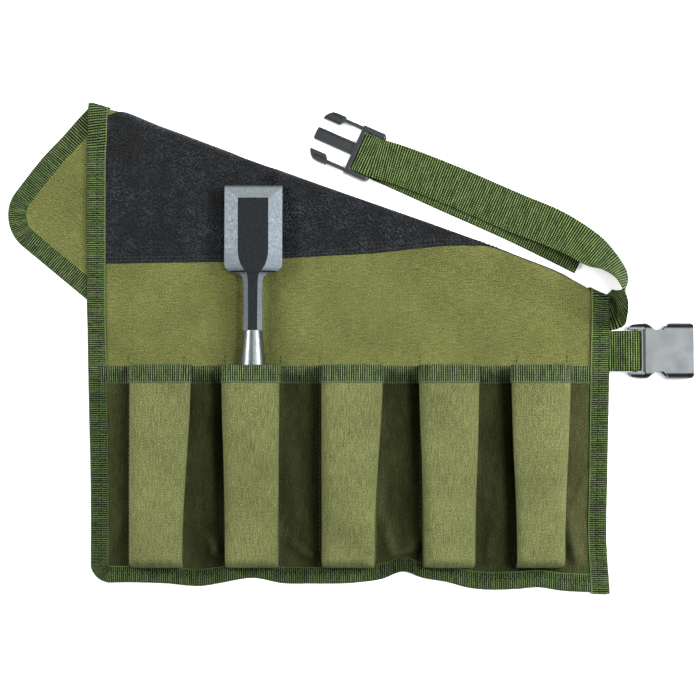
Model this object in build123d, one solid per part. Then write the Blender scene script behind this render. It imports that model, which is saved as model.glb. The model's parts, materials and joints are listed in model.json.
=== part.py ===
from build123d import *
import os
from math import cos, radians, sin

os.makedirs("parts", exist_ok=True)

# Carving tool roll, lying open on a table with its upper flap folded behind it along a diagonal
# crease. +X runs across the pockets, +Y towards the tools' business ends, +Z up from the table.
# The origin is under the middle of the whole roll. All lengths are in millimetres.

# ---- driving dimensions: the cut sheet -----------------------------------------------------
SHEET_WIDTH = 325.0            # outer width over the bound side edges
SHEET_LENGTH = 398.4           # bottom edge to flap end, before folding
SHEET_CENTRE_X = -0.95
BOTTOM_Y = -153.0
CREASE_LEFT_Y = 151.4          # height of the crease at the left edge
CREASE_RIGHT_Y = 34.4          # and at the right edge
BOTTOM_CORNER_RADIUS = 9.0
FLAP_CORNER_RADIUS = 23.0
SQUARE_CORNER_RADIUS = 0.6
CANVAS_THICKNESS = 0.7
LEATHER_THICKNESS = 0.8
TAPE_WIDTH = 11.5              # finished width of the folded edge tape
TAPE_LIP = 0.6                 # tape beyond the canvas edge
LAYER_GAP = 0.15               # half the air between the panel and the flap under it
GUARD_LOW_Y = 53.7             # the leather guard's edges on the unfolded sheet
GUARD_HIGH_Y = 147.3

# ---- driving dimensions: the pockets -------------------------------------------------------
SECTIONS = 5
POCKET_PITCH = 60.6
POCKET_WIDTH = 34.0
POCKET_HEIGHT = 22.7           # outside, above the canvas
POCKET_MOUTH_Y = -11.0
POCKET_END_SLOPE = 5.0
CLOTH_THICKNESS = 0.7
MOUTH_TAPE_WIDTH = 11.0
MOUTH_TAPE_THICKNESS = 0.6

# ---- driving dimensions: webbing and buckles -----------------------------------------------
WEBBING_WIDTH = 25.0
WEBBING_THICKNESS = 1.3
BAR_CLEARANCE = 0.25                   # between a buckle's bar and the webbing round it
FEMALE_BAR = (178.5, -1.6, 4.8)        # centre of the bar that the sewn stub goes round
FEMALE_BAR_RADIUS = 1.4
FEMALE_HALF_WIDTH = 17.4
FEMALE_LENGTH = 35.5                   # bar to mouth
FEMALE_HEIGHT = 9.6
FEMALE_WALL = 1.6
FEMALE_SIDE_WALL = 1.8
FEMALE_EDGE_RADIUS = 3.6
FEMALE_SLOT_FRONT = 5.5                # bar centre to the body's rear wall
FEMALE_REAR_WALL = 2.0
EAR_INNER = WEBBING_WIDTH / 2 + 0.8
EAR_REAR = -4.5
EAR_RADIUS = 3.0
EAR_Z = (1.2, 8.4)
NOTCH_TOP = (6.4, 20.6)                # finger notches, measured from the bar: at the buckle's side
NOTCH_FLOOR = (11.4, 16.6)             # and at their floor
NOTCH_DEPTH = 4.5
NOTCH_RADIUS = 2.4
MOUTH_CORNER_RADIUS = 2.2
PARTING_GROOVE = (7.8, 19.0)           # the mould's short parting line on the top face
PARTING_WIDTH = 0.4
PARTING_DEPTH = 0.25
MALE_BAR = (7.2, 123.4, 3.9)           # centre of the bar that the long strap goes round
MALE_BAR_RADIUS = 1.2
MALE_HEADING = 155.9                   # degrees from +X to the prong tips
MALE_HALF_WIDTH = 16.2
MALE_HEIGHT = 7.0
CROSSBAR_REAR = 3.0
CROSSBAR_FRONT = 5.4
RAIL_INNER = WEBBING_WIDTH / 2 + 0.7
RAIL_REAR = -11.0
RAIL_RADIUS = 1.6
RAIL_END_SLOPE = 2.6                   # how far the rails' outer edges stop short of their ends
REAR_BAR_WIDTH = 2.4
REAR_BAR_Z = (3.6, 4.8)
TONGUE_WIDTH = 8.0
TONGUE_Z = (1.8, 5.2)
TONGUE_RIM = 1.2                       # raised rim round the tongue's shallow recess
TONGUE_RECESS = 0.9
TONGUE_LENGTH = 25.9
PRONG_LENGTH = 25.2
PRONG_GAP = 0.3                        # between the crossbar and the flexing arm
PRONG_ARM_Y = 14.3
PRONG_ARM_THICKNESS = 2.2
PRONG_ARM_Z = (2.2, 5.2)
PRONG_HEAD_LENGTH = 13.2
PRONG_HEAD_Z = (1.4, 6.0)
PRONG_STEP = 1.1                       # width of the lower ledge along the head's inner side

# ---- driving dimensions: the chisel --------------------------------------------------------
CHISEL_X = -60.2
CHISEL_Z = 13.5
EDGE_Y = 101.3                         # cutting edge
BLADE_WIDTH = 36.0
BLADE_TOP_WIDTH = 19.0
BLADE_THICKNESS = 4.6
BLADE_LAND = 0.8                       # upright part of the blade's sides
BLADE_BEVEL = 8.0
SHOULDER_Y = 50.5
NECK_WIDTH = 11.4
NECK_THICKNESS = 8.0
FERRULE_TOP_Y = 10.7
FERRULE_END_Y = -25.0
HANDLE_DIAMETER = 19.8
HOOP_DIAMETER = 21.2
HOOP_SEAT = 1.2                        # how far the handle is stepped down for the hoop
HOOP_WIDTH = 9.0
HANDLE_END_Y = -130.0

# ---- worked out ----------------------------------------------------------------------------
LEFT_X = SHEET_CENTRE_X - SHEET_WIDTH / 2
RIGHT_X = SHEET_CENTRE_X + SHEET_WIDTH / 2
FLAP_END_Y = BOTTOM_Y + SHEET_LENGTH
FOLD_Z = LEATHER_THICKNESS + CANVAS_THICKNESS + LAYER_GAP
CANVAS_LOW_Z = FOLD_Z + LAYER_GAP
CANVAS_TOP_Z = CANVAS_LOW_Z + CANVAS_THICKNESS
GUARD_TOP_Z = CANVAS_TOP_Z + LEATHER_THICKNESS
TAPE_TOP_Z = GUARD_TOP_Z
CREASE_START = Vector(LEFT_X, CREASE_LEFT_Y, FOLD_Z)
CREASE_END = Vector(RIGHT_X, CREASE_RIGHT_Y, FOLD_Z)
CREASE_DIRECTION = (CREASE_END - CREASE_START).normalized()
CREASE_OUTWARD = Vector(-CREASE_DIRECTION.Y, CREASE_DIRECTION.X, 0)
INNER_LEFT_X = LEFT_X + TAPE_WIDTH
INNER_RIGHT_X = RIGHT_X - TAPE_WIDTH
FAR = 600.0                            # larger than the roll, for cutting solids

# The joints of the roll run down the valleys between the pockets.
POCKET_CENTRES = [
    SHEET_CENTRE_X + (number - (SECTIONS - 1) / 2) * POCKET_PITCH for number in range(SECTIONS)
]
ROLL_LINES = [centre + POCKET_PITCH / 2 for centre in POCKET_CENTRES[:-1]]
SECTION_EDGES = [-FAR] + ROLL_LINES + [FAR]


# ---- helpers -------------------------------------------------------------------------------
def block(x_range, y_range, z_range):
    """A box between three pairs of limits."""
    size = [high - low for low, high in (x_range, y_range, z_range)]
    middle = [(high + low) / 2 for low, high in (x_range, y_range, z_range)]
    return Pos(*middle) * Box(*size)


def plate(face, z_low, z_high):
    """A face in the XY plane, thickened between two heights."""
    return extrude(Pos(0, 0, z_low) * face, amount=z_high - z_low)


def polygon(points):
    """A closed face through the points."""
    return make_face(Polyline(*points, close=True))


def single_solids(shape):
    """The shape as a part made of its solids alone."""
    solids = shape.solids()
    return solids[0] if len(solids) == 1 else Compound(children=solids)


def in_section(shape, number):
    """The part of a whole-width shape that lies in one section of the roll."""
    x_range = (SECTION_EDGES[number], SECTION_EDGES[number + 1])
    return shape & block(x_range, (-FAR, FAR), (-FAR, FAR))


def save(shape, node):
    """Write one sub-part."""
    export_step(single_solids(shape), f"parts/{node}.step")


# ---- the folded sheet ----------------------------------------------------------------------
def sheet_face(inset):
    """The unfolded sheet's outline, drawn in from its outer edge."""
    left, right = LEFT_X + inset, RIGHT_X - inset
    bottom, top = BOTTOM_Y + inset, FLAP_END_Y - inset
    corners = [(left, bottom), (right, bottom), (right, top), (left, top)]
    round_radii = [BOTTOM_CORNER_RADIUS, SQUARE_CORNER_RADIUS, FLAP_CORNER_RADIUS, FLAP_CORNER_RADIUS]
    radii = [max(radius - inset, SQUARE_CORNER_RADIUS) for radius in round_radii]
    return make_face(FilletPolyline(*corners, radius=radii, close=True))


def panel_side():
    """The half of space on the panel's side of the upright plane through the crease."""
    start = CREASE_START - CREASE_DIRECTION * FAR
    end = CREASE_START + CREASE_DIRECTION * FAR
    away = CREASE_OUTWARD * -FAR * 2
    corners = [start, end, end + away, start + away]
    return plate(polygon([(corner.X, corner.Y) for corner in corners]), -FAR, FAR)


def fold_roll(inner_radius, outer_radius, x_low, x_high):
    """The half ring that joins the panel to the flap round the crease."""
    across = Plane(CREASE_START - CREASE_DIRECTION * 20, x_dir=CREASE_OUTWARD, z_dir=CREASE_DIRECTION)
    ring = Circle(outer_radius)
    if inner_radius > 0:
        ring -= Circle(inner_radius)
    half = ring & Pos(FAR / 2, 0) * Rectangle(FAR, FAR)
    roll = extrude(across * half, amount=SHEET_WIDTH + 70)
    return roll & block((x_low, x_high), (-FAR, FAR), (-FAR, FAR))


def folded(flat, inner_radius, outer_radius, x_low, x_high):
    """A layer of the unfolded sheet, its flap turned behind the panel about the crease."""
    panel = flat & panel_side()
    flap = (flat - panel_side()).rotate(Axis(CREASE_START, CREASE_DIRECTION), 180)
    return panel + fold_roll(inner_radius, outer_radius, x_low, x_high) + flap


def crease_x(y):
    """Where the crease crosses a height."""
    return LEFT_X + (CREASE_LEFT_Y - y) / (CREASE_LEFT_Y - CREASE_RIGHT_Y) * SHEET_WIDTH


def canvas():
    """The olive canvas: panel, fold and flap."""
    flat = plate(sheet_face(TAPE_LIP), CANVAS_LOW_Z, CANVAS_TOP_Z)
    outer_radius = CANVAS_TOP_Z - FOLD_Z
    return folded(flat, LAYER_GAP, outer_radius, LEFT_X + TAPE_LIP, RIGHT_X - TAPE_LIP)


def guard():
    """The leather blade guard, a band across the sheet that follows it round the crease."""
    band = block((INNER_LEFT_X, INNER_RIGHT_X), (GUARD_LOW_Y, GUARD_HIGH_Y), (CANVAS_TOP_Z, GUARD_TOP_Z))
    inner_radius = CANVAS_TOP_Z - FOLD_Z
    outer_radius = GUARD_TOP_Z - FOLD_Z
    fold_start = max(crease_x(GUARD_HIGH_Y), INNER_LEFT_X)
    return folded(band, inner_radius, outer_radius, fold_start, crease_x(GUARD_LOW_Y))


def flap_shadow():
    """Everything between the table and the fold's height that the flap fills."""
    flat = plate(sheet_face(-LAYER_GAP), FOLD_Z, TAPE_TOP_Z) - panel_side()
    return flat.rotate(Axis(CREASE_START, CREASE_DIRECTION), 180)


def edge_tapes():
    """The tape round the sheet's left, bottom and flap ends, and the separate right-hand tape.

    Where no flap lies under the panel the tape reaches down to the table.
    """
    ring = sheet_face(0) - sheet_face(TAPE_WIDTH)
    side_top = FLAP_END_Y - FLAP_CORNER_RADIUS
    side_reach = Pos(INNER_RIGHT_X + FAR / 2, side_top - FAR / 2) * Rectangle(FAR, FAR)
    tape_radius = TAPE_TOP_Z - FOLD_Z
    cloth = canvas()
    under_flap = flap_shadow()
    tapes = []
    for outline, x_low, x_high in (
        (ring - side_reach, LEFT_X, INNER_LEFT_X),
        (ring & side_reach, INNER_RIGHT_X, RIGHT_X),
    ):
        flat = plate(outline, FOLD_Z, TAPE_TOP_Z)
        foot = (plate(outline, 0, FOLD_Z) & panel_side()) - under_flap
        tapes.append(folded(flat, 0, tape_radius, x_low, x_high) + foot - cloth)
    return tapes


# ---- the pockets ---------------------------------------------------------------------------
def pocket_form(number, grow, y_low, y_high, end_y):
    """A raised box pocket as a full form, grown outwards, with its lower end sloped."""
    half = POCKET_WIDTH / 2 + grow
    top = CANVAS_TOP_Z + POCKET_HEIGHT + grow
    low = CANVAS_TOP_Z
    slope_top = top - POCKET_END_SLOPE
    slope_y = end_y + POCKET_END_SLOPE
    side = polygon([(y_high, low), (y_high, top), (slope_y, top), (end_y, slope_top), (end_y, low)])
    form = extrude(Plane.YZ.offset(POCKET_CENTRES[number] - half) * side, amount=2 * half)
    return form & block((-FAR, FAR), (y_low, y_high), (-FAR, FAR))


def strip_form(number, grow, y_low, y_high, end_y):
    """A pocket with the flat valley cloth on both sides of it, within its section."""
    left = max(SECTION_EDGES[number], INNER_LEFT_X)
    right = min(SECTION_EDGES[number + 1], INNER_RIGHT_X)
    valley = block((left, right), (y_low, y_high), (CANVAS_TOP_Z, CANVAS_TOP_Z + CLOTH_THICKNESS + grow))
    valley &= plate(sheet_face(TAPE_WIDTH), 0, FAR)
    return valley + pocket_form(number, grow, y_low, y_high, end_y)


def pocket_strip(number):
    """The pleated pocket cloth of one section, open at the mouth and on the canvas side."""
    end_y = BOTTOM_Y + TAPE_WIDTH
    mouth_y = POCKET_MOUTH_Y - MOUTH_TAPE_THICKNESS
    cloth = strip_form(number, 0, end_y, mouth_y, end_y)
    inside_end = end_y + CLOTH_THICKNESS
    inside = pocket_form(number, -CLOTH_THICKNESS, inside_end, mouth_y, inside_end)
    return cloth - inside


def mouth_tape(number):
    """The tape folded over the pocket cloth's upper edge."""
    low = POCKET_MOUTH_Y - MOUTH_TAPE_WIDTH
    edge = POCKET_MOUTH_Y - MOUTH_TAPE_THICKNESS
    end_y = BOTTOM_Y + TAPE_WIDTH
    tape = strip_form(number, MOUTH_TAPE_THICKNESS, low, POCKET_MOUTH_Y, end_y)
    tape -= strip_form(number, 0, low, edge, end_y)
    return tape - pocket_form(number, -CLOTH_THICKNESS, edge, POCKET_MOUTH_Y, end_y)


# ---- webbing -------------------------------------------------------------------------------
# Stations of the long strap: its middle, and the direction across it. It leaves the right-hand
# seam, rolls up and back over itself, and comes down to lie flat on its way to the buckle.
STRAP_STATIONS = [
    ((161.6, 22.8, 2.4), (0.0, 1.0, 0.0)),
    ((166.8, 24.6, 2.9), (-0.36, 0.93, 0.0)),
    ((172.4, 35.5, 9.5), (-0.20, 0.76, -0.62)),
    ((170.6, 46.5, 16.0), (0.12, 0.90, -0.42)),
    ((161.0, 56.0, 17.5), (0.38, 0.92, -0.08)),
    ((145.0, 65.2, 11.5), (0.42, 0.91, 0.0)),
    ((126.0, 75.2, 5.0), (0.43, 0.90, 0.0)),
    ((105.0, 84.8, 2.4), (0.42, 0.91, 0.0)),
    ((60.0, 104.4, 2.4), (0.38, 0.925, 0.0)),
    ((29.0, 116.0, 3.2), (0.38, 0.925, 0.0)),
]
STRAP_TAB_WIDTH = 22.4          # the sewn end, narrowed by its seam
STRAP_TAIL_END = (146.7, 58.7, 0.95)
STRAP_TAIL_ACROSS = (0.43, 0.903, 0.0)
STRAP_BEND_REACH = 10.0         # how far both runs lie level behind the buckle's bar
STRAP_JOINT_GAP = 0.6           # between the sewn tab and the strap that lifts


def ribbon(stations, widths):
    """Flat webbing through a row of stations."""
    sections = []
    for index, (centre, across) in enumerate(stations):
        before = Vector(*stations[max(index - 1, 0)][0])
        after = Vector(*stations[min(index + 1, len(stations) - 1)][0])
        across = Vector(*across).normalized()
        along = after - before
        along = (along - across * along.dot(across)).normalized()
        plane = Plane(Vector(*centre), x_dir=across, z_dir=along)
        sections.append(plane * Rectangle(widths[index], WEBBING_THICKNESS))
    return loft(sections, ruled=True)


def bar_bend_radius(bar_radius):
    """The middle of the webbing's thickness where it goes round a bar."""
    return bar_radius + BAR_CLEARANCE + WEBBING_THICKNESS / 2


def webbing_profile(points, bend_centre, bend_radius, returns):
    """The side view of webbing that runs in, goes round a bar and comes back under itself."""
    top = (bend_centre[0], bend_centre[1] + bend_radius)
    low = (bend_centre[0], bend_centre[1] - bend_radius)
    outermost = (bend_centre[0] + bend_radius, bend_centre[1])
    line = Polyline(*points, top) + ThreePointArc(top, outermost, low) + Polyline(low, *returns)
    return make_face(offset(line, amount=WEBBING_THICKNESS / 2))


def strap_tab():
    """The strap's sewn end, from the right-hand tape to the foot of the loop."""
    stations = STRAP_STATIONS[:2]
    return ribbon(stations, [STRAP_TAB_WIDTH] * 2) & block((RIGHT_X, FAR), (-FAR, FAR), (-FAR, FAR))


def male_place():
    """The male buckle's own frame: its bar at the origin, its prongs towards +X."""
    return Pos(MALE_BAR[0], MALE_BAR[1], 0) * Rot(0, 0, MALE_HEADING)


def strap():
    """The long strap: loop, flat run, bend round the buckle's bar and free tail."""
    first, second = (Vector(*station[0]) for station in STRAP_STATIONS[1:3])
    foot = first + (second - first).normalized() * STRAP_JOINT_GAP
    heading = radians(MALE_HEADING)
    across = (sin(heading), -cos(heading), 0.0)
    behind_x = MALE_BAR[0] - STRAP_BEND_REACH * cos(heading)
    behind_y = MALE_BAR[1] - STRAP_BEND_REACH * sin(heading)
    bend_radius = bar_bend_radius(MALE_BAR_RADIUS)
    top_z = MALE_BAR[2] + bend_radius
    stations = [(tuple(foot), STRAP_STATIONS[1][1])] + STRAP_STATIONS[2:]
    stations.append(((behind_x, behind_y, top_z), across))
    run = ribbon(stations, [STRAP_TAB_WIDTH] + [WEBBING_WIDTH] * (len(stations) - 1))

    low_z = STRAP_TAIL_END[2]
    profile = webbing_profile(
        [(-STRAP_BEND_REACH - 0.5, top_z)],
        (0, MALE_BAR[2]),
        bend_radius,
        [(-2.5, MALE_BAR[2] - bend_radius), (-6.5, low_z), (-STRAP_BEND_REACH - 0.5, low_z)],
    )
    bend = extrude(Plane.XZ * profile, amount=WEBBING_WIDTH / 2, both=True)
    bend &= block((-STRAP_BEND_REACH, FAR), (-FAR, FAR), (-FAR, FAR))
    tail_start = (behind_x, behind_y, low_z)
    tail = ribbon([(tail_start, across), (STRAP_TAIL_END, STRAP_TAIL_ACROSS)], [WEBBING_WIDTH] * 2)
    return run + male_place() * bend + tail


def buckle_webbing():
    """The short sewn loop of webbing that holds the female buckle."""
    bar_x, bar_y, bar_z = FEMALE_BAR
    bend_radius = bar_bend_radius(FEMALE_BAR_RADIUS)
    start_x = RIGHT_X - WEBBING_THICKNESS
    profile = webbing_profile(
        [(start_x, 2.75), (RIGHT_X + 5, 3.2), (bar_x - 5, bar_z + bend_radius)],
        (bar_x, bar_z),
        bend_radius,
        [(bar_x - 5, 1.2), (RIGHT_X + 5, 1.0), (start_x, 1.0)],
    )
    loop = extrude(Plane.XZ.offset(-bar_y) * profile, amount=WEBBING_WIDTH / 2, both=True)
    return loop & block((RIGHT_X, FAR), (-FAR, FAR), (-FAR, FAR))


# ---- buckles -------------------------------------------------------------------------------

def female_outline():
    """The socket half seen from above: ears, curved finger notches and rounded mouth corners."""
    half = FEMALE_HALF_WIDTH
    floor = half - NOTCH_DEPTH
    points = [
        (EAR_REAR, half - 1.2, EAR_RADIUS), (NOTCH_TOP[0], half, NOTCH_RADIUS),
        (NOTCH_FLOOR[0], floor, NOTCH_RADIUS), (NOTCH_FLOOR[1], floor, NOTCH_RADIUS),
        (NOTCH_TOP[1], half, NOTCH_RADIUS / 2), (FEMALE_LENGTH, half, MOUTH_CORNER_RADIUS),
    ]
    points += [(x, -y, radius) for x, y, radius in reversed(points)]
    corners = [(x, y) for x, y, radius in points]
    return make_face(FilletPolyline(*corners, radius=[radius for x, y, radius in points], close=True))


def female_buckle():
    """The socket half: a flat shell open at its mouth, with finger notches and a rear bar."""
    half = FEMALE_HALF_WIDTH
    body = block((FEMALE_SLOT_FRONT, FEMALE_LENGTH), (-half, half), (0, FEMALE_HEIGHT))
    ears = block((EAR_REAR, FEMALE_SLOT_FRONT + 1), (-half, half), EAR_Z)
    body = fillet(body.edges().filter_by(Axis.X), FEMALE_EDGE_RADIUS)
    body += fillet(ears.edges().filter_by(Axis.X), EAR_RADIUS)
    body &= plate(female_outline(), -1, FEMALE_HEIGHT + 1)
    body -= block((-FAR, FEMALE_SLOT_FRONT), (-EAR_INNER, EAR_INNER), (-1, FEMALE_HEIGHT + 1))
    inner_half = half - FEMALE_SIDE_WALL
    socket_rear = FEMALE_SLOT_FRONT + FEMALE_REAR_WALL
    socket_heights = (FEMALE_WALL, FEMALE_HEIGHT - FEMALE_WALL)
    body -= block((socket_rear, FEMALE_LENGTH + 1), (-inner_half, inner_half), socket_heights)
    groove_half = PARTING_WIDTH / 2
    groove_heights = (FEMALE_HEIGHT - PARTING_DEPTH, FEMALE_HEIGHT + 1)
    body -= block(PARTING_GROOVE, (-groove_half, groove_half), groove_heights)
    bar = Pos(0, 0, FEMALE_BAR[2]) * Rot(90, 0, 0) * Cylinder(FEMALE_BAR_RADIUS, 2 * EAR_INNER + 1)
    return Pos(FEMALE_BAR[0], FEMALE_BAR[1], 0) * (body + bar)


def male_frame():
    """The male half's frame: two rails, crossbar, bars for the webbing and the middle tongue."""
    frame = block((CROSSBAR_REAR, CROSSBAR_FRONT), (-MALE_HALF_WIDTH, MALE_HALF_WIDTH), (0.6, 6.6))
    for side in (-1, 1):
        near, far = sorted((side * RAIL_INNER, side * MALE_HALF_WIDTH))
        rail = block((RAIL_REAR, CROSSBAR_FRONT), (near, far), (0, MALE_HEIGHT))
        rail = fillet(rail.edges().filter_by(Axis.Y), RAIL_RADIUS)
        slope = [
            (RAIL_REAR - 1, side * RAIL_INNER), (RAIL_REAR + RAIL_END_SLOPE, side * (MALE_HALF_WIDTH + 1)),
            (RAIL_REAR - 1, side * (MALE_HALF_WIDTH + 1)),
        ]
        frame += rail - plate(polygon(slope), -1, MALE_HEIGHT + 1)
    reach = RAIL_INNER + 0.5
    bar = Pos(0, 0, MALE_BAR[2]) * Rot(90, 0, 0) * Cylinder(MALE_BAR_RADIUS, 2 * reach)
    rear_bar = block((RAIL_REAR + 0.6, RAIL_REAR + 0.6 + REAR_BAR_WIDTH), (-reach, reach), REAR_BAR_Z)
    tip = CROSSBAR_FRONT + TONGUE_LENGTH
    half = TONGUE_WIDTH / 2
    tongue = block((CROSSBAR_FRONT - 0.5, tip), (-half, half), TONGUE_Z)
    tongue = chamfer(tongue.edges().filter_by(Axis.Z).sort_by(Axis.X)[-2:], 0.8)
    recess_half = half - TONGUE_RIM
    recess_heights = (TONGUE_Z[1] - TONGUE_RECESS, TONGUE_Z[1] + 1)
    recess_run = (CROSSBAR_FRONT + TONGUE_RIM, tip - TONGUE_RIM)
    recess = block(recess_run, (-recess_half, recess_half), recess_heights)
    return male_place() * (frame + bar + rear_bar + tongue - recess)


def prong(side):
    """One flexing prong: a thin arm with a barbed head, on the +Y or -Y side of the tongue."""
    start = CROSSBAR_FRONT + PRONG_GAP
    tip = CROSSBAR_FRONT + PRONG_LENGTH
    head = tip - PRONG_HEAD_LENGTH
    barb = MALE_HALF_WIDTH + 0.2
    outer = PRONG_ARM_Y + PRONG_ARM_THICKNESS / 2
    inner = PRONG_ARM_Y - PRONG_ARM_THICKNESS / 2
    inside = 10.2
    arm = block((start, head + 2), sorted((side * inner, side * outer)), PRONG_ARM_Z)
    head_outline = [
        (head, inner), (head + 2.4, inside), (tip, inside), (tip - 0.6, inside + 1.8),
        (tip - 1.9, barb - 2.4), (tip - 3.9, barb - 0.6), (tip - 6.2, barb), (head, barb),
    ]
    barbed = plate(polygon([(x, side * y) for x, y in head_outline]), *PRONG_HEAD_Z)
    ledge_sides = sorted((side * (inside - 1), side * (inside + PRONG_STEP)))
    barbed -= block((head, tip + 1), ledge_sides, (PRONG_HEAD_Z[1] - 1.0, PRONG_HEAD_Z[1] + 1))
    recess = Pos((head + tip) / 2 - 0.8, side * 14.0, PRONG_HEAD_Z[1]) * SlotOverall(7.6, 2.2)
    return male_place() * (arm + barbed - extrude(recess, amount=-1.4))


# ---- the chisel ----------------------------------------------------------------------------
def chisel_blade():
    """Wide flat blade with ground sides, a front bevel, square shoulders and a long neck."""
    half = BLADE_WIDTH / 2
    top_half = BLADE_TOP_WIDTH / 2
    low_z = -BLADE_THICKNESS / 2
    top_z = BLADE_THICKNESS / 2
    section = [
        (-half, low_z), (half, low_z), (half, low_z + BLADE_LAND), (top_half, top_z),
        (-top_half, top_z), (-half, low_z + BLADE_LAND),
    ]
    bar = extrude(Plane.XZ.offset(-EDGE_Y) * polygon(section), amount=EDGE_Y - SHOULDER_Y + 4)
    half_neck = NECK_WIDTH / 2
    outline = [
        (-half, EDGE_Y), (half, EDGE_Y), (half, SHOULDER_Y + 3.5), (half - 3, SHOULDER_Y - 1),
        (half_neck, SHOULDER_Y - 3.5), (-half_neck, SHOULDER_Y - 3.5), (3 - half, SHOULDER_Y - 1),
        (-half, SHOULDER_Y + 3.5),
    ]
    bar &= plate(polygon(outline), -FAR, FAR)
    wedge = [(EDGE_Y + 1, low_z), (EDGE_Y + 1, top_z + 1), (EDGE_Y - BLADE_BEVEL, top_z + 1),
             (EDGE_Y - BLADE_BEVEL, top_z), (EDGE_Y, low_z)]
    bar -= extrude(Plane.YZ.offset(-FAR) * polygon(wedge), amount=2 * FAR)
    neck_section = RectangleRounded(NECK_WIDTH, NECK_THICKNESS, 3.0)
    neck_start = SHOULDER_Y + 2
    neck = extrude(Plane.XZ.offset(-neck_start) * neck_section, amount=neck_start - FERRULE_TOP_Y)
    return Pos(CHISEL_X, 0, CHISEL_Z) * (bar + neck)


def turned(profile):
    """A body of revolution about the chisel's axis from (y, radius) points."""
    face = polygon([(radius, y) for y, radius in profile])
    solid = revolve(face, Axis.Y, 360)
    return Pos(CHISEL_X, 0, CHISEL_Z) * solid


def ferrule():
    """The steel cone between neck and handle."""
    return turned([
        (FERRULE_TOP_Y, 0), (FERRULE_TOP_Y, 5.7), (POCKET_MOUTH_Y, 8.2), (FERRULE_END_Y, 9.6),
        (FERRULE_END_Y, 0),
    ])


def handle():
    """The wooden handle inside the pocket, stepped down where the hoop sits on it."""
    radius = HANDLE_DIAMETER / 2
    seat = radius - HOOP_SEAT
    step_y = HANDLE_END_Y + HOOP_WIDTH
    crown_y = HANDLE_END_Y - 1.5
    return turned([
        (FERRULE_END_Y, 0), (FERRULE_END_Y, radius - 0.6), (FERRULE_END_Y - 12, radius), (step_y, radius),
        (step_y, seat), (HANDLE_END_Y, seat), (crown_y, seat - 2), (crown_y, 0),
    ])


def hoop():
    """The iron ring driven on the end of the handle."""
    inner = HANDLE_DIAMETER / 2 - HOOP_SEAT
    outer = HOOP_DIAMETER / 2
    step_y = HANDLE_END_Y + HOOP_WIDTH
    return turned([(step_y, inner), (step_y, outer), (HANDLE_END_Y, outer), (HANDLE_END_Y, inner)])


# ---- the whole roll ------------------------------------------------------------------------
whole_canvas = canvas()
whole_guard = guard()
edge_tape, side_tape = edge_tapes()
for index in range(SECTIONS):
    save(in_section(whole_canvas, index), f"canvas_body_{index + 1}")
    save(in_section(whole_guard, index), f"blade_guard_{index + 1}")
    save(in_section(edge_tape, index), f"edge_binding_{index + 1}")
    save(pocket_strip(index), f"pocket_strip_{index + 1}")
    save(mouth_tape(index), f"mouth_binding_{index + 1}")
    tape = in_section(side_tape, index)
    if tape.solids():
        save(tape, f"side_binding_{index + 1}")

save(strap_tab(), "strap_sewn_end")
save(strap(), "webbing_strap")
save(buckle_webbing(), "buckle_webbing")
save(female_buckle(), "female_buckle")
save(male_frame(), "male_buckle_frame")
save(prong(1), "male_prong_lower")
save(prong(-1), "male_prong_upper")
save(chisel_blade(), "chisel_blade")
save(ferrule(), "chisel_ferrule")
save(handle(), "chisel_handle")
save(hoop(), "chisel_hoop")
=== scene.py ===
"""The looks of a canvas carving tool roll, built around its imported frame.

The cloth pieces are laid out on the flat cut sheet, in millimetres: u runs across the pockets and
v from the bottom edge to the end of the flap. lay() folds that sheet along its slanted crease.
"""
import json
import math

import bpy
import numpy as np
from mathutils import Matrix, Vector

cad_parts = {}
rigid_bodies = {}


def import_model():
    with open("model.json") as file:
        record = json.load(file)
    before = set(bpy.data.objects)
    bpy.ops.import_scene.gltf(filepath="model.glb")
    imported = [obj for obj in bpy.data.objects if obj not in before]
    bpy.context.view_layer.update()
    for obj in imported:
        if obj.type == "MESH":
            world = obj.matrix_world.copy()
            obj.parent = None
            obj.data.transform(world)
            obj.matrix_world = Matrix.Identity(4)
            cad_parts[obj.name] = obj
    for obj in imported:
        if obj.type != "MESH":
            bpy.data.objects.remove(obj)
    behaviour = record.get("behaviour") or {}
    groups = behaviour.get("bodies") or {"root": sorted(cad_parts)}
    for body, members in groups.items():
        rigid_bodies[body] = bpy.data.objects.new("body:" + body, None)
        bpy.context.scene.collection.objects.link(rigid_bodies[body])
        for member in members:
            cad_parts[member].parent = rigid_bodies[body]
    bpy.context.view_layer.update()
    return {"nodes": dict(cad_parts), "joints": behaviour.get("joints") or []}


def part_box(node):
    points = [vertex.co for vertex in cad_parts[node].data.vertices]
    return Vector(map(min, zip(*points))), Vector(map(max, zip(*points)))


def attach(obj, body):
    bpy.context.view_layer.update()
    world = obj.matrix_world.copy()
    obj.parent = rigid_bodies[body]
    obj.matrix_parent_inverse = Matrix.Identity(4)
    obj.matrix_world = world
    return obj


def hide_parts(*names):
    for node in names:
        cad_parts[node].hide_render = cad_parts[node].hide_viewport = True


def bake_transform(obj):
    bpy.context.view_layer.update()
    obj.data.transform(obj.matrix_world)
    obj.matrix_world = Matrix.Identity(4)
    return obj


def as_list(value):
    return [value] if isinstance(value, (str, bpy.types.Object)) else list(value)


for leftover in list(bpy.data.objects):
    bpy.data.objects.remove(leftover)
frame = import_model()

MM = 0.001


def box(node):
    """Lowest and highest corner of a CAD node, in millimetres."""
    low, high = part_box(node)
    return np.array(low) / MM, np.array(high) / MM


# ---- places and sizes, from the frame ----
joints = {joint["name"]: joint for joint in frame["joints"]}
ROLL_LINES = [joints[f"roll_{number}"]["pos_m"][0] / MM for number in (1, 2, 3, 4)]
PITCH = ROLL_LINES[1] - ROLL_LINES[0]
CENTRES = [ROLL_LINES[0] - PITCH / 2 + number * PITCH for number in range(5)]

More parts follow.
